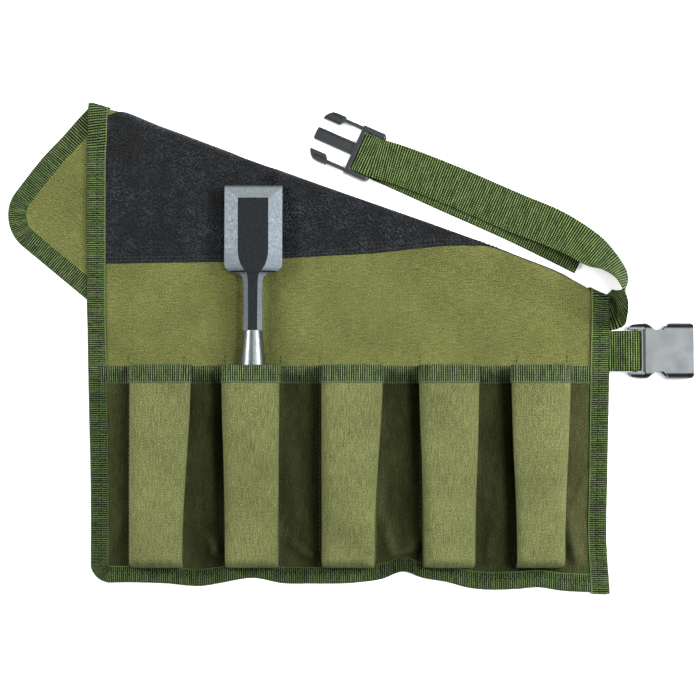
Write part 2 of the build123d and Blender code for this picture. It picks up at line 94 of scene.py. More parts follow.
strip_left = box("pocket_strip_1")[0]
strip_right = box("pocket_strip_5")[1]
side_low, side_high = box("side_binding_5")
handle_low, handle_high = box("chisel_handle")
mouth_low, mouth_high = box("mouth_binding_3")
TAPE_WIDTH = side_high[0] - strip_right[0]
LEFT_X = strip_left[0] - TAPE_WIDTH
RIGHT_X = side_high[0]
BOTTOM_Y = side_low[1]
MOUTH_Y = mouth_high[1]
MOUTH_TAPE_WIDTH = mouth_high[1] - mouth_low[1]
POCKET_HEIGHT = strip_right[2] - strip_left[2]
STRIP_END_Y = strip_left[1]
HANDLE_X = (handle_low[0] + handle_high[0]) / 2

CANVAS = 0.7                   # thickness of the canvas and of the pocket cloth
LEATHER = 0.8                  # thickness of the blade guard
SHEET_LENGTH = 398.4           # the canvas before folding, bottom edge to flap end
FLAP_END = BOTTOM_Y + SHEET_LENGTH
BOTTOM_CORNER = 13.0           # radius of the corner, and of the flap's corners
FLAP_CORNER = 23.0

# The crease, read from where the folded canvas reaches at two roll lines.
crease_heights = [box("canvas_body_2")[1][1], box("canvas_body_3")[1][1]]
CREASE_SLOPE = (crease_heights[1] - crease_heights[0]) / PITCH
CANVAS_FOLD_REACH = 0.9        # how far the folded canvas lies past its crease line
crease_length = math.hypot(1.0, CREASE_SLOPE)
OUT = np.array([-CREASE_SLOPE, 1.0]) / crease_length

# Heights of the middle of the canvas, and the rounded nose of its fold.
FLAP_Z = 2.15
PANEL_Z = 3.6                  # over the flap
TABLE_Z = 0.95                 # where no flap lies under it
NOSE = 3.1                     # radius of the fold
NOSE_FLAT = NOSE * math.pi / 2
NOSE_TIP = 2.2                 # how far the nose passes the crease line
TIP_RUN = 25.0                 # length over which the crease's straying dies away
SWELL = 20.0                   # width over which the fold's swelling dies away
WRINKLE_RUN = 6.0              # the wrinkles start this gradually at the fold
DROOP_RUN = 16.0               # width over which the panel comes down past the flap's edge
FLOOR_GAP = 0.05
# Where the chisel slides up over the cloth it presses it flat: (height before, height after).
PRESSED = np.array([(0.0, 0.0), (0.4, 0.4), (2.15, 1.2), (3.6, 2.0), (8.4, 3.2)])
PRESSED_HALF, PRESSED_EDGE = 6.5, 16.0   # pressed up to this far from the handle's middle, free past this
PRESSED_FROM, PRESSED_RUN = -40.0, 15.0  # pressed from this y, coming on over this length


def crease_y(x):
    """Height of the crease line at that x."""
    return crease_heights[0] - CANVAS_FOLD_REACH + CREASE_SLOPE * (x - ROLL_LINES[0])


def smooth(value, start, end):
    """0 at start, 1 at end and an even S between them."""
    share = np.clip((value - start) / (end - start), 0.0, 1.0)
    return share * share * (3.0 - 2.0 * share)


def running_total(steps):
    """0 and then the sum of the steps so far."""
    return np.concatenate([[0.0], np.cumsum(steps)])


def lengths_along(points):
    """How far along a line each of its points lies."""
    return running_total(np.linalg.norm(np.diff(points, axis=0), axis=1))


def read_at(places, at, values):
    """Rows of values, known at some places, read at others by straight lines between them."""
    return np.stack([np.interp(places, at, column) for column in values.T], axis=-1)


def unit(vectors):
    """The same vectors with length 1."""
    return vectors / np.maximum(np.linalg.norm(vectors, axis=-1, keepdims=True), 1e-9)


def square_to(headings, vectors):
    """Unit vectors square to the headings, as near as can be to the vectors given."""
    return unit(vectors - headings * (vectors * headings).sum(axis=-1, keepdims=True))


def through(points, at):
    """A smooth line through (place, value) points, read at the places asked for."""
    places, values = np.array(points, float).T
    slopes = np.gradient(values, places)
    index = np.clip(np.searchsorted(places, at) - 1, 0, len(places) - 2)
    span = places[index + 1] - places[index]
    share = np.clip((at - places[index]) / span, 0.0, 1.0)
    rest = 1.0 - share
    return (
        rest * rest * (1 + 2 * share) * values[index]
        + share * share * (3 - 2 * share) * values[index + 1]
        + span * share * rest * (rest * slopes[index] - share * slopes[index + 1])
    )


# ---- the sheet's hand-made unevenness ----
# How far each sewn edge strays from straight: (place along the edge, shift).
BOTTOM_STRAY = [
    (-164, 6.7), (-140, 7.3), (-115, 6.7), (-91, 5.2), (-80, 7.0), (-60, 10.0), (-42, 6.8),
    (-25, 6.6), (5, 7.3), (20, 9.4), (33, 14.0), (45, 10.2), (60, 7.6), (73, 4.2), (105, 3.2),
    (118, 4.2), (130, 2.4), (162, 1.0),
]
LEFT_STRAY = [(-153, 1.9), (-90, 1.6), (-40, 0.2), (0, -0.9), (60, -1.6), (155, -2.2)]
FLAP_STRAY = [(0, 0.0), (14, 1.6), (32, 3.3), (60, 2.6), (90, 0.6), (120, 0.0)]
CREASE_STRAY = [
    (-166, 0.2), (-152, 0.9), (-141, 1.9), (-133, 1.5), (-124, 0.9), (-108, 0.7), (-78, 0.2), (-40, 0.0),
    (105, 0.0), (125, -0.6), (134, -1.4), (142.5, -2.7), (152, -4.5), (162, -5.4),
]
RIGHT_STRAY = [(-153, 0.2), (-120, -1.6), (-80, -0.8), (-20, 0.8), (10, 1.6), (35, 0.6)]
BOTTOM_STRAY_FROM, BOTTOM_STRAY_TO = 3.0, 34.0   # heights between which the straying dies away
SIDE_STRAY = 40.0              # and how far in from the sides
FLAP_PULL = (-0.77, 0.64)      # the way in which the flap's left edge strays
FLAP_PULL_WIDTH = 60.0         # width over which that dies away

# Wrinkles and dents of the panel: (x, y, direction in degrees, half length, half width, height).
WRINKLES = [
    (-29, 16, 72, 26, 3.2, 1.1), (-22, 18, 74, 24, 4.0, -0.9), (-92, -4, 0, 11, 5, -1.3),
    (-31, -3, 0, 11, 5, -1.3), (29, -3, 0, 11, 5, -1.2), (90, -3, 8, 12, 5, -1.3),
    (148, -1, 30, 12, 4, -0.9), (35, 6, 20, 16, 5, 0.7), (100, 4, 35, 18, 4, 0.8),
    (-100, 30, 10, 30, 12, 0.6), (60, 30, 160, 40, 9, 0.5), (120, 26, 150, 22, 5, 0.6),
    (-140, 20, 80, 25, 6, 0.5), (-84, 83, 20, 5, 1.6, -1.1), (-86, 86, 30, 6, 2.4, 0.7),
    (-130, 85, 60, 26, 10, 0.8), (-110, 66, 110, 24, 8, -0.6), (-98, 96, 40, 18, 6, 0.5),
    (0, 72, 160, 40, 8, 0.6), (-31, -121, 8, 9, 1.3, 1.5), (-31, -127, 10, 11, 4.5, 1.0),
    (-95, -116, 105, 13, 2.6, 1.8), (-86, -128, 60, 9, 2.4, 1.5), (35, -112, 100, 16, 4, 1.6),
    (92, -118, 75, 18, 3.6, 1.4), (146, -84, 66, 20, 3.0, 1.3), (150, -110, 100, 18, 3, -1.0),
    (-148, -70, 92, 40, 3.5, -0.8), (-146, -120, 70, 16, 3, 1.0),
]


RIPPLE = 0.22                  # height of the slight ripple all over the panel


def wrinkled(x, y):
    """Height that the wrinkles add at points of the panel."""
    height = RIPPLE * np.sin(x / 13.0 + 1.3 * np.sin(y / 21.0)) * np.sin(y / 17.0 + 0.8)
    for place_x, place_y, degrees, length, width, lift in WRINKLES:
        turn = math.radians(degrees)
        along = (x - place_x) * math.cos(turn) + (y - place_y) * math.sin(turn)
        across = (y - place_y) * math.cos(turn) - (x - place_x) * math.sin(turn)
        height = height + lift * np.exp(-((along / length) ** 2) - (across / width) ** 2)
    return height


def strayed(x, y):
    """Points of the panel, moved with its uneven edges."""
    near_bottom = 1 - smooth(y, BOTTOM_Y + BOTTOM_STRAY_FROM, BOTTOM_Y + BOTTOM_STRAY_TO)
    near_left = 1 - smooth(x, LEFT_X, LEFT_X + SIDE_STRAY)
    near_right = smooth(x, RIGHT_X - SIDE_STRAY, RIGHT_X)
    moved_x = x + near_left * through(LEFT_STRAY, y) + near_right * through(RIGHT_STRAY, y)
    return moved_x, y + near_bottom * through(BOTTOM_STRAY, x)


def over_flap(x, y):
    """1 where the folded flap lies under that point of the panel, 0 well off it."""
    beyond = (y - crease_y(x)) * OUT[1]
    below_x = x - 2 * beyond * OUT[0]
    below_y = y - 2 * beyond * OUT[1]
    inside = np.minimum(FLAP_END - below_y, RIGHT_X - below_x)
    return smooth(inside, -DROOP_RUN, 0.0)


def lay(u, v, offset=0.0):
    """Points of the folded sheet, offset from the middle of the canvas towards its outer face."""
    u, v, offset = np.broadcast_arrays(*(np.asarray(each, float) for each in (u, v, offset)))
    beyond = (v - crease_y(u)) * OUT[1]
    turn = np.clip(beyond / NOSE_FLAT, -1.0, 1.0) * math.pi / 2
    past = np.maximum(np.abs(beyond) - NOSE_FLAT, 0.0)
    inward = past + NOSE * (1 - np.cos(turn))
    far_tip = NOSE - NOSE_FLAT
    bulge = NOSE_TIP + through(CREASE_STRAY, u)
    tip = far_tip + (bulge - far_tip) * (1 - smooth(past, 0.0, TIP_RUN))
    shift = tip - inward + offset * np.cos(turn) - beyond
    x = u + shift * OUT[0]
    y = v + shift * OUT[1]
    panel = beyond < 0
    moved_x, moved_y = strayed(x, y)
    pulled = (1 - smooth(u, LEFT_X, LEFT_X + FLAP_PULL_WIDTH)) * through(FLAP_STRAY, past)
    x = np.where(panel, moved_x, x + pulled * FLAP_PULL[0])
    y = np.where(panel, moved_y, y + pulled * FLAP_PULL[1])
    level = TABLE_Z + (PANEL_Z - TABLE_Z) * over_flap(x, y)
    swollen = FLAP_Z + 2 * NOSE
    panel_z = swollen + (level - swollen) * smooth(past, 0.0, SWELL)
    panel_z = panel_z + smooth(past, 0.0, WRINKLE_RUN) * wrinkled(x, y)
    nose_z = FLAP_Z + NOSE * (1 - np.sin(turn))
    lowest = FLOOR_GAP + np.where(offset < 0, -offset, CANVAS / 2)
    z = np.where(past > 0, np.where(panel, np.maximum(panel_z, lowest), FLAP_Z), nose_z)
    press = 1 - smooth(np.abs(x - HANDLE_X), PRESSED_HALF, PRESSED_EDGE)
    press = press * smooth(y, PRESSED_FROM, PRESSED_FROM + PRESSED_RUN)
    z = z + press * (np.interp(z, *PRESSED.T) - z)
    return np.stack([x, y, z - offset * np.sin(turn)], axis=-1)


# ---- shapes: points, faces, cloth coordinates and smoothing groups ----
class Shape:
    """Corners and faces of a piece of cloth or thread.

    cloth is each corner's place on the flat cloth, groups each face's smoothing group, and places
    the x at which each face is counted when the shape is cut into sections. A shell has a second
    layer of corners, numbered layer after the first, and a tube has rings of around corners.
    """

    def __init__(self, points, faces, cloth, groups, places, layer=0, around=0):
        self.points, self.faces, self.cloth = points, faces, cloth
        self.groups, self.places = groups, places
        self.layer, self.around = layer, around

    def facing_out(self):
        """The same shape with its faces turned outwards."""
        a, b, c, d = (self.points[self.faces[:, corner]] for corner in range(4))
        volume = (a * np.cross(b, c)).sum() + (a * np.cross(c, d)).sum()
        if volume < 0:
            self.faces = self.faces[:, ::-1].copy()
        return self

    def corner_normals(self):
        """A smooth normal for each corner of each face, within its smoothing group."""
        a, b, c, d = (self.points[self.faces[:, corner]] for corner in range(4))
        faces = np.cross(c - a, d - b)
        slots = self.faces + len(self.points) * self.groups[:, None]
        total = np.zeros((len(self.points) * (self.groups.max() + 1), 3))
        for corner in range(4):
            np.add.at(total, slots[:, corner], faces)
        return unit(total)[slots]

    def lids(self, kept):
        """New faces that close the kept ones where they were cut from the rest."""
        faces = self.faces[kept]
        edges = np.concatenate([faces[:, [corner, (corner + 1) % 4]] for corner in range(4)])
        _, which, uses = np.unique(np.sort(edges, axis=1), axis=0, return_inverse=True, return_counts=True)
        first, second = edges[uses[which.ravel()] == 1].T
        if self.layer:
            upper = (first < self.layer) & (second < self.layer)
            first, second = first[upper], second[upper]
            return np.stack([second, first, first + self.layer, second + self.layer], axis=1)
        found = []
        if self.around:
            forward = (second % self.around - first % self.around) % self.around == 1
            for ring in np.unique(first // self.around):
                corners = ring * self.around + np.arange(self.around)
                ahead = forward[first // self.around == ring].mean() > 0.5
                found.append(lid(corners[::-1] if ahead else corners))
        return np.concatenate(found) if found else np.zeros((0, 4), int)

    def part(self, kept, normals):
        """The kept faces as a closed shape of their own, with the normals they had in the whole."""
        lids = self.lids(kept)
        used, faces = np.unique(np.concatenate([self.faces[kept], lids]), return_inverse=True)
        points, faces = self.points[used], faces.reshape(-1, 4)
        a, b, c, d = (points[faces[len(faces) - len(lids):, corner]] for corner in range(4))
        facing = unit(np.cross(c - a, d - b))
        normals = np.concatenate([normals[kept], np.repeat(facing[:, None], 4, axis=1)])
        return Shape(points, faces, self.cloth[used], None, None), normals


def joined(shapes):
    """Several shapes as one."""
    starts = np.cumsum([0] + [len(shape.points) for shape in shapes[:-1]])
    faces = np.concatenate([shape.faces + start for shape, start in zip(shapes, starts)])
    points, cloth, groups, places = (
        np.concatenate([getattr(shape, part) for shape in shapes])
        for part in ("points", "cloth", "groups", "places")
    )
    return Shape(points, faces, cloth, groups, places)


def grid_faces(index):
    """Quads between neighbouring corners of a grid of corner numbers."""
    corners = [index[:-1, :-1], index[:-1, 1:], index[1:, 1:], index[1:, :-1]]
    return np.stack([corner.ravel() for corner in corners], axis=1)


def grid_normals(grid):
    """The normal at each corner of a grid of points."""
    return unit(np.cross(np.gradient(grid, axis=1), np.gradient(grid, axis=0)))


def lid(ring):
    """Quads that close a ring with an even number of corners."""
    half = len(ring) // 2
    return grid_faces(np.stack([ring[:half], ring[::-1][:half]]))


def shell(upper, lower, cloth):
    """Cloth between two grids of points, closed round its edges."""
    rows, columns = upper.shape[:2]
    layer = rows * columns
    top = np.arange(layer).reshape(rows, columns)
    rim = np.concatenate([top[0, :-1], top[:-1, -1], top[-1, :0:-1], top[:0:-1, 0], top[0, :1]])
    rims = grid_faces(np.stack([rim, rim + layer]))[:, ::-1]
    sides = np.concatenate([grid_faces(top), grid_faces(top + layer)[:, ::-1]])
    faces = np.concatenate([sides, rims])
    groups = np.concatenate([np.zeros(len(sides), int), np.ones(len(rims), int)])
    points = np.concatenate([upper.reshape(-1, 3), lower.reshape(-1, 3)])
    flat = np.tile(cloth.reshape(-1, 2), (2, 1))
    places = points[faces % layer, 0].mean(axis=1)
    return Shape(points, faces, flat, groups, places, layer=layer).facing_out()


def tube(rings, cloth):
    """A closed sweep of rings of points, with its two ends closed."""
    count, around = rings.shape[:2]
    index = np.arange(count * around).reshape(count, around)
    sides = grid_faces(np.concatenate([index, index[:, :1]], axis=1))
    lids = np.concatenate([lid(index[0][::-1]), lid(index[-1])])
    faces = np.concatenate([sides, lids])
    groups = np.concatenate([np.zeros(len(sides), int), np.ones(len(lids), int)])
    middles = rings.mean(axis=1)[:, 0]
    places = middles[faces // around].mean(axis=1)
    points, flat = rings.reshape(-1, 3), cloth.reshape(-1, 2)
    return Shape(points, faces, flat, groups, places, around=around).facing_out()


def make(name, shape, material, normals=None):
    """A mesh object from a shape in millimetres."""
    mesh = bpy.data.meshes.new(name)
    mesh.from_pydata((shape.points * MM).tolist(), [], shape.faces.tolist())
    mesh.polygons.foreach_set("use_smooth", np.ones(len(shape.faces), bool))
    flat = np.zeros((len(shape.points), 3), np.float32)
    flat[:, :2] = shape.cloth
    mesh.attributes.new("cloth", "FLOAT_VECTOR", "POINT").data.foreach_set("vector", flat.ravel())
    normals = shape.corner_normals() if normals is None else normals
    mesh.normals_split_custom_set(normals.reshape(-1, 3).tolist())
    mesh.materials.append(material)
    made = bpy.data.objects.new(name, mesh)
    bpy.context.scene.collection.objects.link(made)
    return made


def bend(piece, number):
    """Bakes the piece's place into its mesh; number is not used."""
    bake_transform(piece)


def across_sections(name, shape, material):
    """The shape as four pieces, cut at the middles of the second to fourth pockets."""
    normals = shape.corner_normals()
    cuts = [-math.inf] + CENTRES[1:4] + [math.inf]
    pieces = []
    for number in (1, 2, 3, 4):
        kept = (shape.places >= cuts[number - 1]) & (shape.places < cuts[number])
        part, part_normals = shape.part(kept, normals)
        piece = make(f"{name}_{number}", part, material, part_normals)
        bend(piece, number)
        pieces.append(piece)
    return pieces


def cut_size(piece):
    """(width, length) of the flat cloth a piece was cut from and its area, in metres."""
    flat = np.zeros(len(piece.data.vertices) * 3, np.float32)
    piece.data.attributes["cloth"].data.foreach_get("vector", flat)
    flat = flat.reshape(-1, 3)[:, :2] * MM
    corners = np.zeros(len(piece.data.polygons) * 4, int)
    piece.data.polygons.foreach_get("vertices", corners)
    a, b, c, d = flat[corners.reshape(-1, 4)].transpose(1, 0, 2)
    crossing = (c - a)[:, 0] * (d - b)[:, 1] - (c - a)[:, 1] * (d - b)[:, 0]
    size = flat.max(0) - flat.min(0)
    return tuple(float(length) for length in size), float(np.abs(crossing).sum() / 4)


def declare(piece):
    size, area = cut_size(piece)
    area = min(area, size[0] * size[1])


# ---- materials ----
def linear(red, green, blue):
    """A colour as it looks on a screen, 0 to 255, in the renderer's own scale."""
    return tuple(((each / 255 + 0.055) / 1.055) ** 2.4 for each in (red, green, blue)) + (1.0,)


class Look:
    """A material and the nodes that make its pattern."""

    def __init__(self, name):
        self.material = bpy.data.materials.new(name)
        self.material.use_nodes = True
        self.tree = self.material.node_tree
        self.shader = self.tree.nodes["Principled BSDF"]

    def fill(self, socket, value):
        if isinstance(value, bpy.types.NodeSocket):
            self.tree.links.new(value, socket)
        else:
            socket.default_value = value

    def node(self, kind, output, inputs, **settings):
        made = self.tree.nodes.new("ShaderNode" + kind)
        for key, value in settings.items():
            setattr(made, key, value)
        for key, value in inputs.items():
            self.fill(made.inputs[key], value)
        return made.outputs[output]

    def stretched(self, place, scale, turn=0.0):
        """A place times the three scales, turned about z."""
        inputs = {"Vector": place, "Rotation": (0, 0, turn), "Scale": scale}
        return self.node("Mapping", "Vector", inputs)

    def cloth(self, scale_u=1.0, scale_v=1.0, turn=0.0):
        """Place on the flat cloth, in millimetres times the scales."""
        place = self.node("Attribute", "Vector", {}, attribute_name="cloth")
        return self.stretched(place, (scale_u, scale_v, 1), turn)

    def solid(self):
        """Place in the row frame, in millimetres."""
        place = self.node("TexCoord", "Object", {})
        return self.node("VectorMath", "Vector", {0: place, 1: (1 / MM,) * 3}, operation="MULTIPLY")

    def math(self, operation, first, second=0.5):
        return self.node("Math", 0, {0: first, 1: second}, operation=operation)

    def times(self, first, *others):
        """The product of several patterns."""
        for other in others:
            first = self.math("MULTIPLY", first, other)
        return first

    def noise(self, vector, scale, detail=3.0, roughness=0.55):
        inputs = {"Vector": vector, "Scale": scale, "Detail": detail, "Roughness": roughness}
        return self.node("TexNoise", 0, inputs)

    def wave(self, vector, pitch, direction="X", distortion=0.0):
        """Even ridges with that pitch; Blender multiplies the scale by 20."""
        inputs = {"Vector": vector, "Scale": 2 * math.pi / pitch / 20, "Distortion": distortion}
        settings = {"wave_type": "BANDS", "bands_direction": direction, "wave_profile": "SIN"}
        return self.node("TexWave", 1, inputs, **settings)

    def axis(self, vector, name):
        """One of the vector's three values."""
        return self.node("SeparateXYZ", name, {0: vector})

    def spread(self, value, low, high, start=0.0, end=1.0):
        """The stretch from low to high of a value as start to end, and level beyond it."""
        inputs = {"Value": value, 1: low, 2: high, 3: start, 4: end}
        return self.node("MapRange", 0, inputs)

    def mix(self, share, first, second, blend="MIX"):
        made = self.tree.nodes.new("ShaderNodeMix")
        made.data_type, made.blend_type = "RGBA", blend
        for socket, value in ((0, share), (6, first), (7, second)):
            self.fill(made.inputs[socket], value)
        return made.outputs[2]

    def bump(self, height, distance, strength=1.0, normal=None):
        inputs = {"Height": height, "Distance": distance * MM, "Strength": strength}
        if normal is not None:
            inputs["Normal"] = normal
        return self.node("Bump", 0, inputs)

    def finish(self, colour=None, roughness=None, normal=None, **fixed):
        """Plugs the patterns into the shader; fixed sets its other inputs."""
        for key, value in (("Base Color", colour), ("Roughness", roughness), ("Normal", normal)):
            if value is not None:
                self.fill(self.shader.inputs[key], value)
        for key, value in fixed.items():
            self.shader.inputs[key.replace("_", " ")].default_value = value
        return self.material


THREAD = 0.78                  # pitch of the canvas's threads
TAPE_PITCH = 1.35              # pitch of the ribs
WEB_PITCH = 1.5                # pitch of the webbing's ribs
# Pale selvage, and painted shade along the groove that the seam pulls in: (distance in, half width,
# strength).
TAPE_LINES = [(11.3, 0.45, 0.7), (6.5, 0.5, -0.75)]
MOUTH_LINES = [(10.7, 0.5, 0.5)]
VALLEY_LIT = 7.0               # how far left of a roll line the painted shade on the valley's floor is lightest
VALLEY_FLOOR, VALLEY_TOP = 4.4, 22.0   # heights over which the painted shade fades out, from the valley floor up


def woven(name, base, dark, light, stretch, painted_valley_shade=1.0):
    """Plain-woven cotton: crossing threads, uneven yarns, pale rubbed patches and darker ones.

    The last argument sets painted shade: how dark the cloth is painted at the foot of the valleys
    between the pockets, darkest on the right of each.
    """
    look = Look(name)
    warp = look.wave(look.cloth(), THREAD, "X", 0.4)
    weft = look.wave(look.cloth(), THREAD, "Y", 0.4)
    weave = look.times(warp, weft)
    slub_up = look.noise(look.cloth(1.1, 0.14), 1.0, 3.0, 0.6)
    slub_across = look.noise(look.cloth(0.18, 1.1), 1.0, 3.0, 0.6)
    speckle = look.noise(look.cloth(), 2.1, 2.0, 0.6)
    patch = look.noise(look.cloth(), 0.028, 3.0, 0.5)
    colour = look.mix(look.spread(speckle, 0.39, 0.61), dark, light)
    colour = look.mix(0.15, colour, base)
    streak = look.mix(stretch, slub_across, slub_up)
    shade = look.times(
        look.spread(streak, 0.34, 0.66, 0.74, 1.26),
        look.spread(weave, 0.0, 1.0, 0.84, 1.12),
        look.spread(patch, 0.3, 0.7, 0.86, 1.12),
    )
    # Painted shade: low in the valleys between the pockets the cloth is coloured darker, most on the right
    # of each valley and in soft patches, fading out with height.
    if painted_valley_shade < 1:
        place = look.solid()
        from_valley = look.math("SUBTRACT", look.axis(place, "X"), ROLL_LINES[0] - VALLEY_LIT)
        side = look.math("COSINE", look.times(from_valley, 2 * math.pi / PITCH))
        fold = look.noise(look.cloth(0.10, 0.025), 1.0, 2.0, 0.5)
        floor_shade = look.spread(side, -0.8, 0.9, painted_valley_shade * 0.45, painted_valley_shade * 1.55)
        floor_shade = look.times(floor_shade, look.spread(fold, 0.35, 0.65, 0.8, 1.2))
        painted_depth_shade = look.spread(look.axis(place, "Z"), VALLEY_FLOOR, VALLEY_TOP, floor_shade, 1.0)
        shade = look.times(shade, painted_depth_shade)
    grey = look.node("CombineColor", 0, {0: shade, 1: shade, 2: shade})
    colour = look.mix(1.0, colour, grey, "MULTIPLY")
    normal = look.bump(speckle, 0.15, 0.4)
    normal = look.bump(weave, 0.22, 0.6, normal)
    rough = look.spread(speckle, 0.3, 0.7, 0.78, 0.95)
    return look.finish(
        colour, rough, normal, Sheen_Weight=0.02, Sheen_Roughness=0.5, Specular_IOR_Level=0.0
    )


def ribbed(name, dark, light, pitch, dots, lines=()):
    """Woven tape or webbing: cross ribs with a painted highlight on their crests and painted shade in
    their valleys, broken into yarns, no two ribs alike.

    dots is the width of a yarn. lines run along the tape: (distance from its edge, half width,
    strength), dark where negative.
    """
    look = Look(name)
    across = look.axis(look.cloth(), "Y")
    rib = look.spread(look.wave(look.cloth(), pitch, "X"), 0.3, 0.9)
    dot = look.wave(look.cloth(), dots, "Y", 0.8)
    uneven = look.noise(look.cloth(0.9 / pitch, 0.1), 1.0, 2.0, 0.5)
    fine = look.noise(look.cloth(0.7, 0.7), 1.0, 3.0, 0.7)
    height = look.times(rib, look.spread(dot, 0.1, 0.9, 0.4, 1.0))
    light_on_yarn = look.spread(fine, 0.34, 0.66, 0.55, 1.35)
    light_on_rib = look.spread(uneven, 0.36, 0.64, 0.6, 1.3)
    # Painted highlight and shade: each rib is coloured light on its crest and dark in the valleys beside it.
    painted_rib_light = look.times(height, light_on_yarn, light_on_rib)
    colour = look.mix(painted_rib_light, dark, light)
    for distance, half_width, strength in lines:
        away = look.math("ABSOLUTE", look.math("SUBTRACT", across, distance))
        near = look.spread(away, half_width, half_width * 0.4, 0.0, abs(strength))
        colour = look.mix(near, colour, light if strength > 0 else dark)
    rough = look.spread(fine, 0.3, 0.7, 0.6, 0.85)
    return look.finish(colour, rough, look.bump(height, 0.35, 0.8), Specular_IOR_Level=0.06)


def leather():
    """Black pebbled hide, glossier on its crests, which carry a painted bluish highlight, stronger in
    patches and along long creases.
    """
    look = Look("leather")
    place = look.cloth()
    cells = look.node("TexVoronoi", "Distance", {"Vector": place, "Scale": 0.85}, feature="F1")
    fine = look.noise(place, 1.6, 4.0, 0.65)
    crease = look.noise(look.cloth(0.5, 1.0, 0.6), 0.22, 4.0, 0.6)
    patch = look.noise(place, 0.045, 3.0, 0.6)
    long_crease = look.noise(look.cloth(0.16, 0.05), 1.0, 4.0, 0.6)
    height = look.math("ADD", look.spread(cells, 0.0, 0.75, 1.0, 0.0), look.times(fine, 0.9))
    height = look.math("ADD", height, crease)
    crest = look.spread(height, 1.15, 2.15)
    colour = look.mix(look.spread(patch, 0.35, 0.65), linear(2, 3, 4), linear(6, 8, 10))
    highlight_patches = look.spread(patch, 0.35, 0.65, 0.2, 1.2)
    # Painted highlight: the crests of the pebbles are coloured pale bluish grey, more in some patches and
    # along long creases.
    painted_crest_highlight = look.times(crest, highlight_patches, look.spread(long_crease, 0.4, 0.6, 0.7, 1.2))
    colour = look.mix(painted_crest_highlight, colour, linear(66, 73, 82))
    rough = look.spread(crest, 0.0, 1.0, 0.6, 0.36)
    return look.finish(colour, rough, look.bump(height, 1.9, 1.0), Specular_IOR_Level=0.26)


def thread(name, colour, light):
    """Twisted sewing thread."""
    look = Look(name)
    place = look.cloth(1.0, 1.0, 0.6)
    twist = look.wave(place, 0.45, "X")
    shade = look.mix(twist, colour, light)
    return look.finish(shade, 0.7, look.bump(twist, 0.1, 0.5), Sheen_Weight=0.1)


def plastic(name, dark, light, rough):
    """Moulded acetal: faintly mottled, with fine scuffs in its gloss."""
    look = Look(name)
    place = look.solid()
    grain = look.noise(place, 3.5, 2.0, 0.6)
    mottle = look.noise(place, 0.12, 3.0, 0.5)
    colour = look.mix(look.spread(mottle, 0.35, 0.65), dark, light)
    wear = look.noise(place, 0.12, 2.0, 0.5)
    gloss = look.spread(wear, 0.3, 0.7, rough - 0.015, rough + 0.025)
    return look.finish(colour, gloss, look.bump(grain, 0.006, 0.5), Specular_IOR_Level=0.46)


def ground_steel(name, dark, light, metallic, rough, grain_along, grain_across, gleam=0.5):
    """Steel ground along one way, with fine scratches and a mottled brightness."""
    look = Look(name)
    place = look.solid()
    scratch = look.noise(look.stretched(place, (grain_across, grain_along, 1)), 1.0, 5.0, 0.7)
    mottle = look.noise(place, 0.5, 4.0, 0.7)
    colour = look.mix(look.spread(scratch, 0.3, 0.7), dark, light)
    colour = look.mix(look.spread(mottle, 0.4, 0.7, 0.0, 0.4), colour, light)
    gloss = look.spread(mottle, 0.3, 0.7, rough - 0.08, rough + 0.12)
    normal = look.bump(scratch, 0.04, 0.6)
    return look.finish(colour, gloss, normal, Metallic=metallic, Specular_IOR_Level=gleam)


def wood():
    """Pale oiled hardwood with rings drawn out along the handle."""
    look = Look("handle_wood")
    place = look.solid()
    ring = look.noise(look.stretched(place, (0.55, 0.03, 0.55)), 1.0, 4.0, 0.6)
    pore = look.noise(look.stretched(place, (4, 0.2, 4)), 1.0, 2.0, 0.6)
    colour = look.mix(look.spread(ring, 0.35, 0.65), linear(112, 70, 36), linear(150, 108, 66))
    colour = look.mix(look.spread(pore, 0.6, 0.75, 0.0, 0.5), colour, linear(70, 42, 22))
    return look.finish(colour, look.spread(ring, 0.3, 0.7, 0.38, 0.5), look.bump(pore, 0.05, 0.5))


CANVAS_LOOK = woven("canvas", linear(82, 85, 43), linear(37, 39, 14), linear(124, 127, 75), 0.3)
# The pocket cloth carries painted shade at the foot of its valleys, set by the last argument.
POCKET_LOOK = woven("pocket_cloth", linear(88, 91, 52), linear(42, 45, 18), linear(129, 133, 87), 0.85, 0.29)
TAPE_LOOK = ribbed("binding_tape", linear(2, 5, 1), linear(106, 126, 76), TAPE_PITCH, 1.0, TAPE_LINES)
MOUTH_LOOK = ribbed("mouth_tape", linear(3, 7, 2), linear(114, 132, 88), TAPE_PITCH, 1.0, MOUTH_LINES)
WEBBING_LOOK = ribbed("webbing", linear(4, 10, 1), linear(112, 134, 76), WEB_PITCH, 1.4)
LEATHER_LOOK = leather()
DARK_THREAD = thread("thread_dark", linear(30, 34, 12), linear(58, 62, 30))
GREEN_THREAD = thread("thread_green", linear(30, 42, 18), linear(76, 96, 54))
BLACK_THREAD = thread("thread_black", linear(4, 5, 6), linear(22, 24, 28))
PLASTIC_LOOK = plastic("buckle_plastic", linear(8, 10, 12), linear(15, 18, 21), 0.33)
STEEL_LOOK = ground_steel("blade_steel", linear(50, 57, 62), linear(92, 101, 107), 0.4, 0.48, 0.9, 0.9)
SCALE_LOOK = ground_steel("forge_scale", linear(8, 11, 12), linear(26, 31, 33), 0.0, 0.6, 0.6, 0.6, 0.12)
BEVEL_LOOK = ground_steel("bevel_steel", linear(92, 98, 98), linear(134, 142, 142), 0.4, 0.42, 0.3, 2.0)
FERRULE_LOOK = ground_steel("ferrule_steel", linear(74, 78, 78), linear(112, 117, 116), 0.9, 0.36, 0.2, 2.5)
IRON_LOOK = ground_steel("hoop_iron", linear(44, 46, 48), linear(80, 82, 84), 0.9, 0.45, 1.0, 1.0)
WOOD_LOOK = wood()


# ---- canvas and leather ----
FINE_STEPS = 1500              # steps in which a sheet's length is measured


